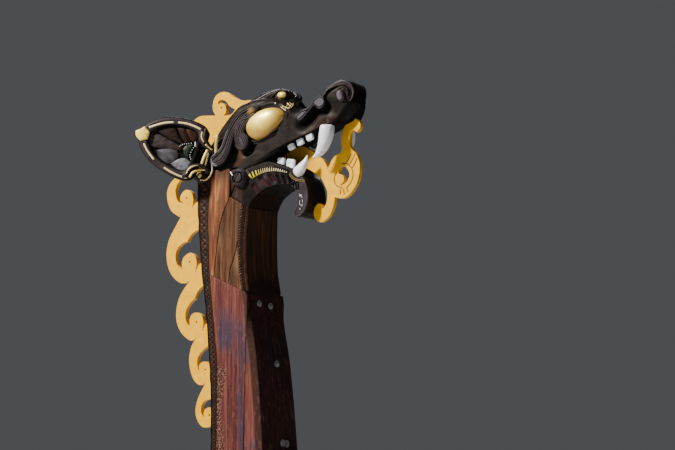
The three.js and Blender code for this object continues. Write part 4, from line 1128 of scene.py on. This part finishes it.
# Head
def build_upper_head():
    """Skull and snout in one carving. The ridge and the grooves are bells of the distance to their lines.
    The wrinkles over the fang are a cosine of the distance from its root, the lines on the back of the
    skull are a sine along a slant, and beyond a slanted line the nose draws in to its bevel. Painted shade
    darkens the grooves, the bevel, the underside and the nose's flank; the skull's lines, a band along the
    nose's top and the wrinkles are lightened as wear and painted sheen."""
    xs = np.concatenate([np.arange(-348, 845, 5.0), np.linspace(845, 852, 5)])
    grid = head_grid(UPPER_HEAD, xs, 14.0, 10.0, (70, 110))
    normal = grid_normals(grid)
    x, z = grid[..., 0], grid[..., 2]
    side = np.abs(normal[..., 1]) ** 2
    rise = 0.9 * ripple(grid, 26.0, 3) + 7 * side * beside(x, z, BROW_RIDGE, 11)
    soot = 0 * x
    for line, width, depth in HEAD_GROOVES:
        groove = side * beside(x, z, line, width)
        rise = rise - depth * groove
        soot = np.maximum(soot, np.clip(1.9 * groove - 0.35, 0, 1))
    from_root = np.hypot((x - 664) * 0.8, z - 2072)
    fan = step_down(np.abs(from_root - 64), 26, 22) * (z > 2082) * side
    wrinkle = np.cos((from_root + 3 * ripple(grid, 18.0, 12)) / 11 * 2 * math.pi)
    rise = rise + 1.5 * fan * wrinkle + 26 * side * bell(np.hypot(x - 660, (z - 2120) * 1.1), 50)
    behind = step_down(x, -120, 60) * np.clip((z - 1960) / 80, 0, 1)
    flow = np.sin((z - 0.9 * x) / 48 * 2 * math.pi)
    rise = rise + 2.5 * behind * flow
    grid = grid + normal * rise[..., None]
    past = np.maximum((x - 705) * 0.8 - (z - 2130) * 0.6, 0) * step_down(-x, -690, 20)
    grid[..., 1] *= 1 - np.minimum(0.55 * past, 34 * (1 - np.exp(-past / 50))) / 85
    # Painted shade: grooves, the nose's bevel, the underside and the nose's flank
    soot = np.maximum.reduce([
        soot, np.clip(past / 16, 0, 1), step_down(normal[..., 2], -0.5, 0.3),
        0.6 * side * within(x, z, [(560, 2256), (640, 2240), (740, 2215)], 50, 50)])
    # Lightened as wear and painted sheen: lines on the back of the skull, a band along the nose's top, the
    # wrinkles
    rub = np.clip(0.25 * behind * (flow > 0.3) + 0.5 * step_down(np.abs(z - 2395), 12, 10), 0, 1)
    rub = np.maximum(rub, 0.3 * fan * np.clip(wrinkle, 0, 1))
    mouth = read(UPPER_HEAD, x)[1]
    stain = np.maximum.reduce([
        np.clip(fan * (0.3 + 0.3 * wrinkle), 0, 1),
        0.35 * bell(z - mouth - 8, 9) * step_down(-x, -300, 80) * step_down(x, 600, 60),
        side * within(x, z, [(-2, 1985), (0, 1930), (-30, 1880)], 20, 26)])
    add_piece("upper_head_carving", surface(grid, rub=rub, stain=stain, soot=soot), TARRED_OAK,
              "dark_carving", ["skull", "snout"])


def build_lower_jaw():
    """Lower jaw: a row of oval sinkings fans out under the comb. A crack runs down its root, and behind the
    crack the wood is bare. The throat is drawn back by up to 24 mm. Painted shade darkens the front sinkings,
    the slits, the underside, the strip behind the comb and the lower side; the sinkings' rims and patches
    are lightened as wear and painted glints."""
    xs = np.append(np.arange(-79.5, 425, 3.2), 425)
    grid = head_grid(JAW, xs, 10.0, 8.0, (70, 24))
    normal = grid_normals(grid)
    x, z = grid[..., 0], grid[..., 2]
    side = np.abs(normal[..., 1]) ** 2
    sunk = side * np.max([beside(x, z, line, width) for line, width in JAW_SINKINGS], axis=0)
    slit = side * np.max([beside(x, z, line, 4.5) for line in SLITS + [ROOT_CRACK]], axis=0)
    bump = np.clip(ripple(grid, 13.0, 44) - 0.1, 0, 1)
    # Lightened rims of the sinkings and patches: wear and painted glints
    rub = side * np.maximum(0.45 * bell(sunk - 0.22, 0.16), 0.7 * bump)
    crimson = np.clip((sunk - 0.45) * 3, 0, 1) * step_down(x, 262, 20)
    under = step_down(normal[..., 2], -0.4, 0.3)
    # Painted shade in the front sinkings, slits, underside, behind the comb and low on the side
    soot = np.maximum.reduce([
        np.clip((sunk - 0.4) * 2, 0, 1) * step_down(-x, -262, 20), slit, 0.78 * under,
        side * within(x, z, [row[:2] for row in COMB], 17, 12),
        0.5 * side * within(x, z, [(106, 1752), (226, 1772), (330, 1780)], 40, 30) * (1 - crimson),
        0.8 * side * step_down(z, 1752, 70) * step_down(-x, -10, 60) * (1 - crimson),
        0.9 * step_down(-normal[..., 2], -0.6, 0.3) * step_down(-x, -60, 40)])
    bare = step_down(x - np.interp(z, [1709, 1812], [-79, -22]), 0, 8) * step_down(z, 1812, 40) * side
    stain = np.maximum.reduce([0.7 * bare, 0.35 * side * step_down(x, 30, 50),
                               0.75 * under * step_down(x, 190, 120)])
    throat = step_down(z, 1730, 110) * np.clip(x / 80, 0, 1)
    rise = 0.7 * ripple(grid, 22.0, 5) - 17 * sunk ** 0.7 - 9 * slit
    grid = grid + normal * rise[..., None]
    grid[..., 0] -= 24 * throat
    add_piece("lower_jaw_carving", surface(grid, rub=rub, crimson=crimson, soot=soot, stain=stain),
              TARRED_OAK, "dark_carving", ["lower_jaw"])


def build_straps():
    """Brow lobes, snout scroll and lip band. The outer lobe shows silver-grey wood beside two lines along its
    foot and its rear edge, on the rear edge also as painted highlight, and both lobes have a gilt spot where
    they meet. The lobes and the snout scroll carry painted sheen."""
    outer = strap(OUTER_LOBE, 130, 12, [(at, 3.2, 3.8) for at in (13, 29)], 65, 10, 3.0, 0.6)
    inner = strap(INNER_LOBE, 130, 12, [(at, 3.0, 3.4) for at in (11, 25, 39)], 65, 10, 0.0, 0.75)
    x, y, z = outer["points"].T
    foot = beside(x, z, [(-182, 1978), (-206, 1968), (-212, 1946), (-196, 1914), (-166, 1902)], 7)
    rear = beside(x, z, [(-150, 1996), (-128, 2020), (-104, 2070), (-80, 2124)], 7)
    # Silver-grey wood at the foot; on the rear edge silver-grey and painted highlight
    outer["fields"]["silver"] = np.maximum(foot, 0.7 * rear) * (y < -190)
    for name, s, node_name in (("outer_brow_lobe", outer, "brow_outer"),
                               ("inner_brow_lobe", inner, "brow_inner")):
        x, y, z = s["points"].T
        s["fields"]["gilt"] = 0.9 * bell(np.hypot(x - 104, (z - 2237) * 1.1), 26) * (y < -180)
        add_pair(name, s, TARRED_OAK, "dark_carving", [node_name])
    scroll = strap(SNOUT_STRAP, 80, 7, ((9, 2.6, 6.0),), 41, 10, sheen=0.6, silver=0.3)
    add_pair("snout_scroll", scroll, TARRED_OAK, "dark_carving", ["snout_strap"])
    add_pair("lip_band", strap(LIP_BAND, 96, 22, (), 41, worn=0.1), TARRED_OAK, "dark_carving")


def build_eyes():
    """Eye: rings shrink from its outline to its middle while the height rises nearly as a quarter circle. Its
    gold turns amber towards its lower edge and front end as painted shade. The lids are cords round it, set
    off from the outline, lightened and browned along part of their crown."""
    edge = outline(EYE_EDGE, 7.0)
    middle = np.array([EYE["x"], EYE["z"]], float)
    rho = np.sin(np.linspace(math.pi / 2, 0, 26))[:, None]
    flat = middle + (edge - middle)[None] * rho[..., None]
    x, z = flat[..., 0], flat[..., 1]
    out = EYE["base"] + (EYE["out"] - EYE["base"]) * np.sqrt(1 - rho ** 2) ** 0.85 + 0 * x
    # Painted shade: amber grows with the distance from a point high on the eye's rear half
    amber = np.clip(1.3 * np.hypot((x - 160) / 175, (z - 2195) / 105) - 0.42, 0, 0.85)
    tilt = 0.1 * (x - 300) + 12 * np.clip((x - 230) / 124, 0, 1) ** 1.5
    x, out = x - 0.8 * tilt, out - tilt
    add_pair("gilded_eye", surface(np.stack([x, -out, z], -1), amber=amber), GOLD_LEAF, "gilding", ["eye"])

    a = circle(16)[None]
    ahead = unit(np.roll(edge, -2, 0) - np.roll(edge, 2, 0))
    outward = np.stack([ahead[:, 1], -ahead[:, 0]], -1)
    outward = outward * np.sign(((edge - middle) * outward).sum(-1).mean())
    rims = []
    for grow, across, proud, y, worn in ((7, 6.5, 11, 164, 0.4), (19, 7.0, 4, 162, 0.0)):
        centre = edge + grow * outward
        cx, cz = centre[:, :1], centre[:, 1:]
        flat = centre[:, None] + outward[:, None] * (across * np.cos(a))[..., None]
        sunk = 30 * np.maximum(step_down(-cx, -292, 60), step_down(-cz, -2215, 40))
        ring = np.stack([flat[..., 0], sunk - y - proud * np.sin(a) + 0 * flat[..., 0], flat[..., 1]], -1)
        top = np.clip(np.sin(a), 0, 1) ** 3 * step_down(cz - 0.5 * cx, 2020, 60)
        rims.append(surface(ring, loop=True, rub=top * worn * 0.6, stain=top * worn))
    add_pair("eyelid_rims", merged(rims), TARRED_OAK, "dark_carving", ["eyelid"])


def build_mask_eyes():
    """Eye of the brow mask: an oval dome, tilted, with a round cord as its lid."""
    m = MASK_EYE
    b = circle(40)
    rho = np.sin(np.linspace(math.pi / 2, 0, 12))[:, None]
    u, v = m["long"] * np.cos(b) * rho, m["short"] * np.sin(b) * rho
    x, z = turned(u, v, m["tilt"])
    y = m["y"] - 26 * np.sqrt(1 - rho ** 2) + 0 * x
    # Amber iris spot, and painted shade on the dome's lower half
    iris = 0.9 * bell(np.hypot(u / m["long"] - 0.62, v / m["short"] - 0.1), 0.3)
    dome = surface(np.stack([m["x"] + x, y, m["z"] + z], -1),
                   amber=np.maximum(iris, 0.25 * (1 - v / m["short"])))
    add_pair("mask_eye_dome", dome, GOLD_LEAF, "gilding", ["mask_eye"])
    x, z = turned((m["long"] + 7) * np.cos(b), (m["short"] + 7) * np.sin(b), m["tilt"])
    centre = np.array([m["x"], m["y"] - 14, m["z"]], float)
    lid = np.stack([x, 0 * x, z], -1)
    a = circle(12)[None, :, None]
    cord = 6 * np.cos(a) * unit(lid)[:, None] + 8 * np.sin(a) * np.array([0, -1.0, 0])
    ring = (centre + lid)[:, None] + cord
    rub = 0.3 * np.clip(np.sin(a[..., 0]), 0, 1) + 0 * ring[..., 0]
    add_pair("mask_eye_lid", surface(ring, loop=True, rub=rub), TARRED_OAK, "dark_carving")


def on_shell(table, line, count, lift):
    """Points of a smooth line given in x and z, laid on a head surface and lifted off it."""
    p = spline(line, count)
    return np.stack([p[:, 0], -shell_y(table, p[:, 0], p[:, 1]) - lift, p[:, 1]], -1)


def build_mask():
    """Beast mask on the brow: ridges and grooves are bells of the distance to their lines. Beads, a stud, a
    cord and the gilt interlace lie on its surface or on the head's."""
    xs = np.append(np.arange(-30, 366, 4.0), 368)
    grid = head_grid(MASK, xs, 14.0, 6.0, (16, 90))
    normal = grid_normals(grid)
    x, z = grid[..., 0], grid[..., 2]
    side = np.clip(1 - np.abs(normal[..., 0]), 0, 1)
    rise = sum(height * side * beside(x, z, line, width) for line, width, height in MASK_CARVING)
    grid = grid + normal * (rise + 0.8 * ripple(grid, 18.0, 8))[..., None]
    add_piece("brow_mask_carving", surface(grid, rub=np.clip(rise / 8, 0, 0.7)), TARRED_OAK, "dark_carving",
              ["brow_mask"])
    ridge = on_shell(MASK, [(50, 2334), (105, 2350), (150, 2364), (195, 2378), (228, 2386)], 24, 4)
    arc = on_shell(MASK, [(236, 2380), (262, 2382), (290, 2374), (315, 2356), (332, 2334)], 12, 4)
    beads = surface_fields(ball(np.vstack([ridge, arc]), 2.7), gum=1.0)
    add_pair("brow_beads", beads, WHITE_ENAMEL, "white_enamel")
    stud = on_shell(UPPER_HEAD, [(276, 2275), (277, 2275)], 1, 4)
    add_pair("brow_stud", ball(stud, 5.5), WHITE_ENAMEL, "white_enamel")
    cord = on_shell(MASK, [(60, 2286), (110, 2296), (160, 2316), (205, 2346), (236, 2366)], 26, 2)
    add_pair("brow_cord", tube(cord, 7.0, flat=0.8), TARRED_OAK, "dark_carving")
    knots = merged([tube(on_shell(UPPER_HEAD, knot, 16, 2.4), 2.2, sides=8) for knot in BROW_KNOTS])
    add_pair("brow_interlace", surface_fields(knots, pale=0.6), GOLD_LEAF, "gilding")


def build_nose():
    """Nostril: a round boss laid on the snout's side, with an egg-shaped knob and, ahead of it, crescent
    ridges that run a cosine of the distance from the middle. The knob's rear half is lightened as painted
    highlight, a hollow ahead of the knob carries painted shade, and knob and ridges are lightened as wear
    and painted sheen."""
    n = NOSTRIL
    pitch = 17.0
    r = np.linspace(1, 0, 46)[:, None]
    b = circle(90)[None]
    u, v = n["r"] * r * np.cos(b), n["r"] * r * np.sin(b)
    x, z = n["x"] + u, n["z"] + v
    across, along = turned(u, v, -14)
    across, along = across + 12, along + 14
    knob = quarter(np.clip(1 - np.hypot(across / 29, along / 40), 0, 1) * 1.6) * 22
    ahead = np.clip(0.5 + 0.7 * np.cos(b - 0.35), 0, 1)
    ridge = (3 + 6 * np.cos((r * n["r"] - 38) / pitch * 2 * math.pi)) * np.clip((r - 0.42) * 6, 0, 1) * ahead
    half = read(UPPER_HEAD, x, 14.0)[0]
    out = half - 7 + 11 * quarter((1 - r) / 0.5) + (ridge + knob) * np.clip((1 - r) * 9, 0, 1)
    hollow = 14 * bell(np.hypot((across - 34) / 9, (along + 8) / 26), 1.0)
    # Painted highlight on the knob's rear half, painted shade in the hollow ahead of it
    boss = surface(np.stack([x, hollow - out, z], -1), rub=np.clip(knob / 16 + ridge / 12, 0, 1),
                   silver=0.35 * np.clip(knob / 20, 0, 1) * step_down(across, 4, 20),
                   soot=np.clip(hollow / 12, 0, 1))
    add_pair("nostril_volute", merged([boss, strap(NOSE_RIM, 48, 7)]), TARRED_OAK, "dark_carving",
             ["nostril"])


def build_hinge():
    """Jaw boss: a disc with a raised rim, a sunk crescent and a diagonal key, and a white peg beside it."""
    h = HINGE
    r = np.linspace(1, 0, 30)[:, None]
    b = circle(72)[None]
    u, v = r * np.cos(b), r * np.sin(b)
    crescent = step_down(np.abs(np.hypot(u - 0.1, v + 0.05) - 0.62), 0.1, 0.1) * (v < 0.5)
    key = within(u, v, [(-0.5, -0.7), (0.35, 0.45)], 0.13, 0.1)
    out = h["base"] + (h["outer"] - h["base"]) * quarter((1 - r) / 0.25) - 9 * crescent - 6 * key
    grid = np.stack([h["x"] + h["r"] * u, -out, h["z"] + h["r"] * v], -1)
    rub = np.clip(0.35 + 0.5 * bell(1 - r, 0.2) + 0.3 * key - crescent, 0, 1)
    add_pair("jaw_boss", surface(grid, rub=rub), TARRED_OAK, "dark_carving", ["jaw_hinge"])
    add_pair("jaw_boss_peg", tube([(-58, -197, 1851), (-41, -199, 1830)], 4.5), WHITE_ENAMEL, "white_enamel")


def build_comb():
    """Comb: a tapering arc with upright notches cut into its upper edge, wide ones first and then narrow.
    It lies on the jaw's side and thins towards its tip, where it is chalked paler."""
    rows = 420
    wide, narrow, change = 23.0, 15.5, 69.0
    path = spline(COMB, rows)
    run = np.concatenate([[0], np.cumsum(np.linalg.norm(np.diff(path[:, :2], axis=0), axis=1))])
    count = np.where(run < change, run / wide + 0.45, change / wide + 0.45 + (run - change) / narrow)
    part = np.abs((count % 1) - 0.5) * 2
    cut = np.clip((np.where(run < change, 0.64, 0.78) - part) / 0.12, 0, 1)
    s = np.array([-1.0, -0.7, -0.2, 0.3, 0.7, 1.0])
    top = np.minimum(s[None], 1 - 1.85 * cut[:, None]) * path[:, 2:3]
    flat = path[:, None, :2] + across_path(path)[:, None] * top[..., None]
    edge = 2 * (np.abs(s) > 0.9)
    out = 170 - 45 * np.linspace(0, 1, rows)[:, None] ** 2
    out = np.minimum(out, shell_y(JAW, path[:, 0], path[:, 1])[:, None] + 5) - edge
    front = np.stack([flat[..., 0], -out, flat[..., 1]], -1)
    back = front[:, ::-1] + (0, 9, 0)
    pale = np.clip((path[:, :1] - 120) / 120, 0, 1) + np.zeros((1, 2 * len(s)))
    add_pair("comb", surface(np.concatenate([front, back], 1), pale=pale), YELLOW_ENAMEL, "yellow_paint",
             ["jaw_comb"])


def build_fangs():
    """Fangs: rings of a smooth path, slightly three-sided, with yellowed roots and shaded inner faces."""
    a = circle(32)[None]
    for name, (rows, flat) in FANGS.items():
        p = spline(rows, 44)
        ahead = unit(np.gradient(p[:, [0, 2]], axis=0))
        r = p[:, 3:4] * (1 + 0.035 * np.cos(3 * a + 0.6))
        x = p[:, :1] - ahead[:, 1:] * r * np.cos(a)
        z = p[:, 2:3] + ahead[:, :1] * r * np.cos(a)
        y = p[:, 1:2] + flat * r * np.sin(a)
        gum = step_down(np.linspace(0, 1, len(p))[:, None] + 0 * a, 0.1, 0.16)
        inner = 0.6 * np.clip((np.sin(a) - 0.45) * 2.5, 0, 1) + 0 * x
        add_pair(f"{name}_horn", surface(np.stack([x, y, z], -1), gum=gum, shade=inner), WHITE_ENAMEL,
                 "white_enamel", [name])


def build_teeth():
    """Teeth: rounded blocks, balls whose sines and cosines are raised to the 0.3 power. Upper teeth are
    shaded at their roots, and all on their inner faces."""
    lat = np.linspace(0, math.pi, 22)[:, None]
    lon = circle(36)[None]
    wide, deep = [powered(np.sin(lat), 0.3) * powered(f(lon), 0.3) for f in (np.cos, np.sin)]
    high = powered(np.cos(lat), 0.3) + 0 * lon
    for name, rows in (("upper_teeth", UPPER_TEETH), ("lower_teeth", LOWER_TEETH)):
        teeth = []
        for x, free, root, half, lean in rows:
            u = half * wide
            ahead, up = turned(u, (free - root) / 2 * high, lean)
            y = TOOTH["y"] + TOOTH["thick"] * deep
            z = (free + root) / 2 + up
            gum_line = free + 54 + u * math.sin(math.radians(lean))
            shade = step_down(-z, -gum_line, 6) * (name == "upper_teeth")
            shade = np.maximum(shade, 0.85 * np.clip((y - TOOTH["y"]) / 6 - 1, 0, 1))
            teeth.append(surface(np.stack([x + ahead, y, z], -1), shade=shade))
        add_pair(f"{name}_row", merged(teeth), WHITE_ENAMEL, "white_enamel", [name])


def build_chin():
    """Chin scroll: a tapering strap curled under, as wide as the chin. Each side face has a raised rim
    and a sunk middle, both edges are rounded, and upright slits part its top. The face is lightened as
    wear and painted sheen, and the slits carry painted shade."""
    path = spline(CHIN, 91)
    path = np.vstack([path, round_end(path[-1], path[-2], 16)])
    flat, edge = ribbon(path, 49)
    x, z = flat[..., 0], flat[..., 1]
    sunk = 3.5 * step_down(-edge, -13, 8)
    slit = np.max([beside(x, z, line, 4.0) for line in SLITS], axis=0)
    out = CHIN_HALF - 9 * (1 - quarter(edge / 12)) - sunk - 9 * slit
    near = np.stack([x, -out, z], -1)
    far = near[:, ::-1] * (1, -1, 1)
    # Face lightened as wear and painted sheen; painted shade in the slits
    rub = np.clip(0.8 * quarter(edge / 8) - 0.08 * sunk - slit, 0, 1)
    add_piece("chin_scroll_carving",
              surface(np.concatenate([near, far], 1), rub=np.hstack([rub, rub[:, ::-1]]),
                      soot=np.hstack([slit, slit[:, ::-1]])),
              TARRED_OAK, "dark_carving", ["chin_scroll"])


def build_chin_trim():
    """White flecks on the chin, and two cords round the lower fang's foot, one below the other."""
    flecks = [tube(np.insert(spline(line, 8), 1, 1.5 - CHIN_HALF, axis=1), 1.6, sides=8)
              for line in CHIN_FLECKS]
    add_pair("chin_flecks", merged(flecks), WHITE_ENAMEL, "white_enamel")
    cords = [tube(spline(FANG_COLLAR, 26) - (0.5 * drop, 0, drop), 1.9, sides=8) for drop in (0, 9)]
    add_pair("fang_collar", surface_fields(merged(cords), gilt=1.0), TARRED_OAK, "dark_carving")


# Ears
def ear_frame():
    """Directions along, across and through the ear, square to each other."""
    along = unit(EAR_END - EAR_BASE)
    across = unit(np.array([0, 0, 1.0]) - along * along[2])
    return along, across, np.cross(along, across)


def in_ear(u, v, w):
    """Place of a point given along, across and through the ear. The dish opens towards -w."""
    along, across, through = ear_frame()
    u, v, w = np.broadcast_arrays(u, v, w)
    return EAR_BASE + u[..., None] * along + v[..., None] * across + w[..., None] * through


def behind_brow(u):
    """How much deeper the ear's root lies, so that it passes behind the brow lobe: up to 55 mm."""
    return 55 * step_down(u, 40, 120)


def ear_cord(line, radius, lift=0.0, count=26):
    """Cord along points given in the ear's plane, on its front."""
    p = spline(line, count)
    path = in_ear(p[:, 0], p[:, 1], behind_brow(p[:, 0]) - EAR_HALF - lift)
    return tube(path, radius, facing=-ear_frame()[2])


def ear_pad(line, low, high):
    """Low cushion on the ear: rings of a closed outline shrink to its middle while the height rises nearly
    as a quarter circle. Its foot lies 12 mm deeper than its edge, in the ear."""
    rim = outline(line, 3.0)
    middle = rim.mean(0)
    rho = np.concatenate([[1.0], np.sin(np.linspace(math.pi / 2, 0, 12))])[:, None]
    flat = middle + (rim - middle)[None] * rho[..., None]
    height = high * np.sqrt(1 - rho ** 2) ** 0.7
    height[0] = -12
    return in_ear(flat[..., 0], flat[..., 1], -low - height)


def build_ear_shells():
    """Ear: rings shrink from the rim's outline to its middle. The front has a round rim with a channel
    along it, then a dish, and the back bulges between shallow grooves. The rim's crown is lightened as
    wear and painted highlight, and painted shade darkens the dish and the front at the root."""
    rim = spline(EAR_RIM + EAR_RIM[:1], 240)[:-1]
    rho = np.concatenate([np.linspace(1, 0.66, 28), np.linspace(0.65, 0.0, 32)])[:, None]
    flat = EAR_MIDDLE + (rim - EAR_MIDDLE)[None] * rho[..., None]
    u, v = flat[..., 0], flat[..., 1]
    inner = (1 - rho) / 0.3
    high = np.sqrt(np.clip(1 - (2 * inner - 1) ** 2, 0, 1)) * (1 - 0.7 * step_down(u, 100, 50))
    channel = 3.5 * bell(inner - 0.5, 0.13) * (inner < 1)
    dish = 20 + 16 * quarter((inner - 1) / 0.5)
    w = np.where(inner < 1, 20 * (1 - high) + channel, dish) - EAR_HALF
    front = in_ear(u, v, np.minimum(w, 22) + behind_brow(u))
    bearing = np.degrees(np.arctan2(v + 40, u - 118))
    groove = 3.0 * (1 - np.abs(np.sin(bearing / 26 * math.pi))) ** 3 * (1 - rho)
    rear = in_ear(u, v, EAR_HALF - 14 * rho ** 6 - groove + behind_brow(u))
    few = np.r_[0:60:2, 59]
    # Painted shadow at the ear's root, and painted shade in the dish
    shadow = step_down(u, 134, 40) * step_down(np.abs(v + 40), 110, 60)
    rub = np.where(inner < 1, high ** 3 * 0.9 - channel / 8, 0) * (1 - shadow)
    soot = np.maximum(np.clip((inner - 1.05) * 5, 0, 1), shadow)
    ear = surface(np.concatenate([front[::-1], rear[few]]),
                  rub=np.concatenate([rub[::-1], 0.12 + 0 * rub[few]]),
                  soot=np.concatenate([soot[::-1], 0 * soot[few]]))
    add_pair("ear_shell", ear, TARRED_OAK, "dark_carving", ["ear"])


def build_ear_leaves():
    """Six leaves fan out from the ear's root, each a cushion with uneven veins, redder towards the root."""
    leaves = []
    for k, (line, rub, stain, silver) in enumerate(EAR_LEAVES):
        line = np.array(line, float)
        away = unit(line - line.mean(0)) * 5
        pad = ear_pad([np.vstack([line + away, line[:1] + away[:1]])], -3, 11 + 1.5 * k)
        rootward = bell(np.linalg.norm(pad - in_ear(200.0, -40.0, 0.0), axis=-1), 55)
        vein = ripple(pad, 11.0, 30 + k)
        leaves.append(surface(pad, rub=np.clip(rub + 0.15 * vein, 0, 1),
                              silver=np.clip(silver * (1 - rootward) * (1 + 0.6 * vein), 0, 1),
                              stain=np.clip(np.maximum(stain + 0.15 * vein, 0.8 * rootward), 0, 1)))
    add_pair("ear_leaves", merged(leaves), TARRED_OAK, "dark_carving")


def build_ear_trim():
    """Gilt inlays in the ear's rim, its gilt tip with a facet turned amber as painted shade, the green boss
    and the white beads.
    """
    inlays = [surface_fields(ear_cord(line, 6.5, -4), pale=pale, amber=amber)
              for line, pale, amber in EAR_INLAYS]
    add_pair("ear_inlays", merged(inlays), GOLD_LEAF, "gilding")
    tip = ear_pad(EAR_TIP, EAR_HALF - 6, 17)
    # Painted shade: the tip's far upper facet turns amber
    facet = bell(np.linalg.norm(tip - in_ear(514.0, 9.0, -EAR_HALF - 4.0), axis=-1), 19)
    add_pair("ear_tip_block", surface(tip, amber=facet), GOLD_LEAF, "gilding", ["ear_tip"])
    add_pair("ear_green", surface(ear_pad(EAR_BOSS, 2, 14)), GREEN_ENAMEL, "dark_carving")
    dots = np.vstack([spline(line, count) for line, count in EAR_BEADS])
    bar = tube(in_ear(np.array([134.0, 131, 127]), np.array([32.0, 21, 10]), -20.0), 5.0)
    whites = [ball(in_ear(dots[:, 0], dots[:, 1], -16.0), 2.9), surface_fields(bar, gum=1.0)]
    add_pair("ear_white_dots", merged(whites), WHITE_ENAMEL, "white_enamel")


def build_ear_knots():
    """Interlaced cords at the ear's root, each dark and round and lightened along its crown as wear and
    painted highlight, or darkened as painted shade where it lies deep, and gilt cords and beads between them."""
    cords = []
    for line, r, lift in KNOT_CORDS:
        cord = ear_cord(line, r, lift)
        crown = np.clip(cord["fields"]["crown"], 0, 1) ** 2
        # Crown lightened as wear and painted highlight; deep cords in painted shade
        cords.append(surface_fields(cord, rub=0.8 * (lift > -10) * crown, soot=1.0 * (lift <= -10)))
    add_pair("ear_knot_cords", merged(cords), TARRED_OAK, "dark_carving", ["ear_knot"])
    p = spline(KNOT_BEADS, 8)
    beads = ball(in_ear(p[:, 0], p[:, 1], behind_brow(p[:, 0]) - EAR_HALF - 10), 8.0)
    gilding = merged([ear_cord(line, r, lift) for line, r, lift in KNOT_GILDING] + [beads])
    add_pair("ear_knot_gilding", surface_fields(gilding, pale=0.35, amber=0.2), GOLD_LEAF, "gilding")


# Light, floor and camera
def build_light_and_floor():
    """Dim even sky, three square lamps aimed at a point 1.5 m up the neck, and a large matt floor."""
    world = bpy.data.worlds.new("studio")
    world.use_nodes = True
    sky = world.node_tree.nodes["Background"]
    sky.inputs["Color"].default_value = linear("#E4E9F2")
    sky.inputs["Strength"].default_value = 0.1
    bpy.context.scene.world = world
    for name, place, power, size, colour in (
        ("key", (-5.0, -9.0, 10.0), 5600, 1.6, "#FFF4E4"), ("fill", (9.0, -7.0, 3.0), 5, 5.0, "#E6EEFF"),
        ("rim", (-6.0, 7.0, 8.0), 170, 3.0, "#FFFFFF")):
        lamp = bpy.data.lights.new(name, "AREA")
        lamp.energy = power
        lamp.size = size
        lamp.color = linear(colour)[:3]
        lamp_object = bpy.data.objects.new(name, lamp)
        lamp_object.location = place
        aim = Vector((0, 0, 1.5)) - Vector(place)
        lamp_object.rotation_euler = aim.to_track_quat("-Z", "Y").to_euler()
        bpy.context.scene.collection.objects.link(lamp_object)
    mesh = bpy.data.meshes.new("floor")
    reach = 60.0
    corners = [(-reach, -reach, 0), (reach, -reach, 0), (reach, reach, 0), (-reach, reach, 0)]
    mesh.from_pydata(corners, [], [(0, 1, 2, 3)])
    floor = bpy.data.objects.new("floor", mesh)
    bpy.context.scene.collection.objects.link(floor)
    mesh.materials.append(brushed_enamel("matt_floor_paint", "#BCBEC0", "#C2C4C6"))


def build_camera():
    """Camera at the photograph's place, aimed along its direction."""
    camera = bpy.data.cameras.new("camera")
    camera.lens = CAMERA_LENS
    camera.sensor_width = 36.0
    view = bpy.data.objects.new("camera", camera)
    view.location = CAMERA_PLACE
    view.rotation_euler = Vector(CAMERA_AHEAD).to_track_quat("-Z", "Y").to_euler()
    bpy.context.scene.collection.objects.link(view)
    bpy.context.scene.camera = view


for build in (build_camera, build_light_and_floor, build_neck, build_corner_carving, build_bolts, build_bands,
              build_boards, build_upper_head, build_lower_jaw, build_straps, build_eyes, build_mask_eyes,
              build_mask, build_nose, build_hinge, build_comb, build_fangs, build_teeth, build_chin,
              build_chin_trim, build_ear_shells, build_ear_leaves, build_ear_trim, build_ear_knots):
    build()
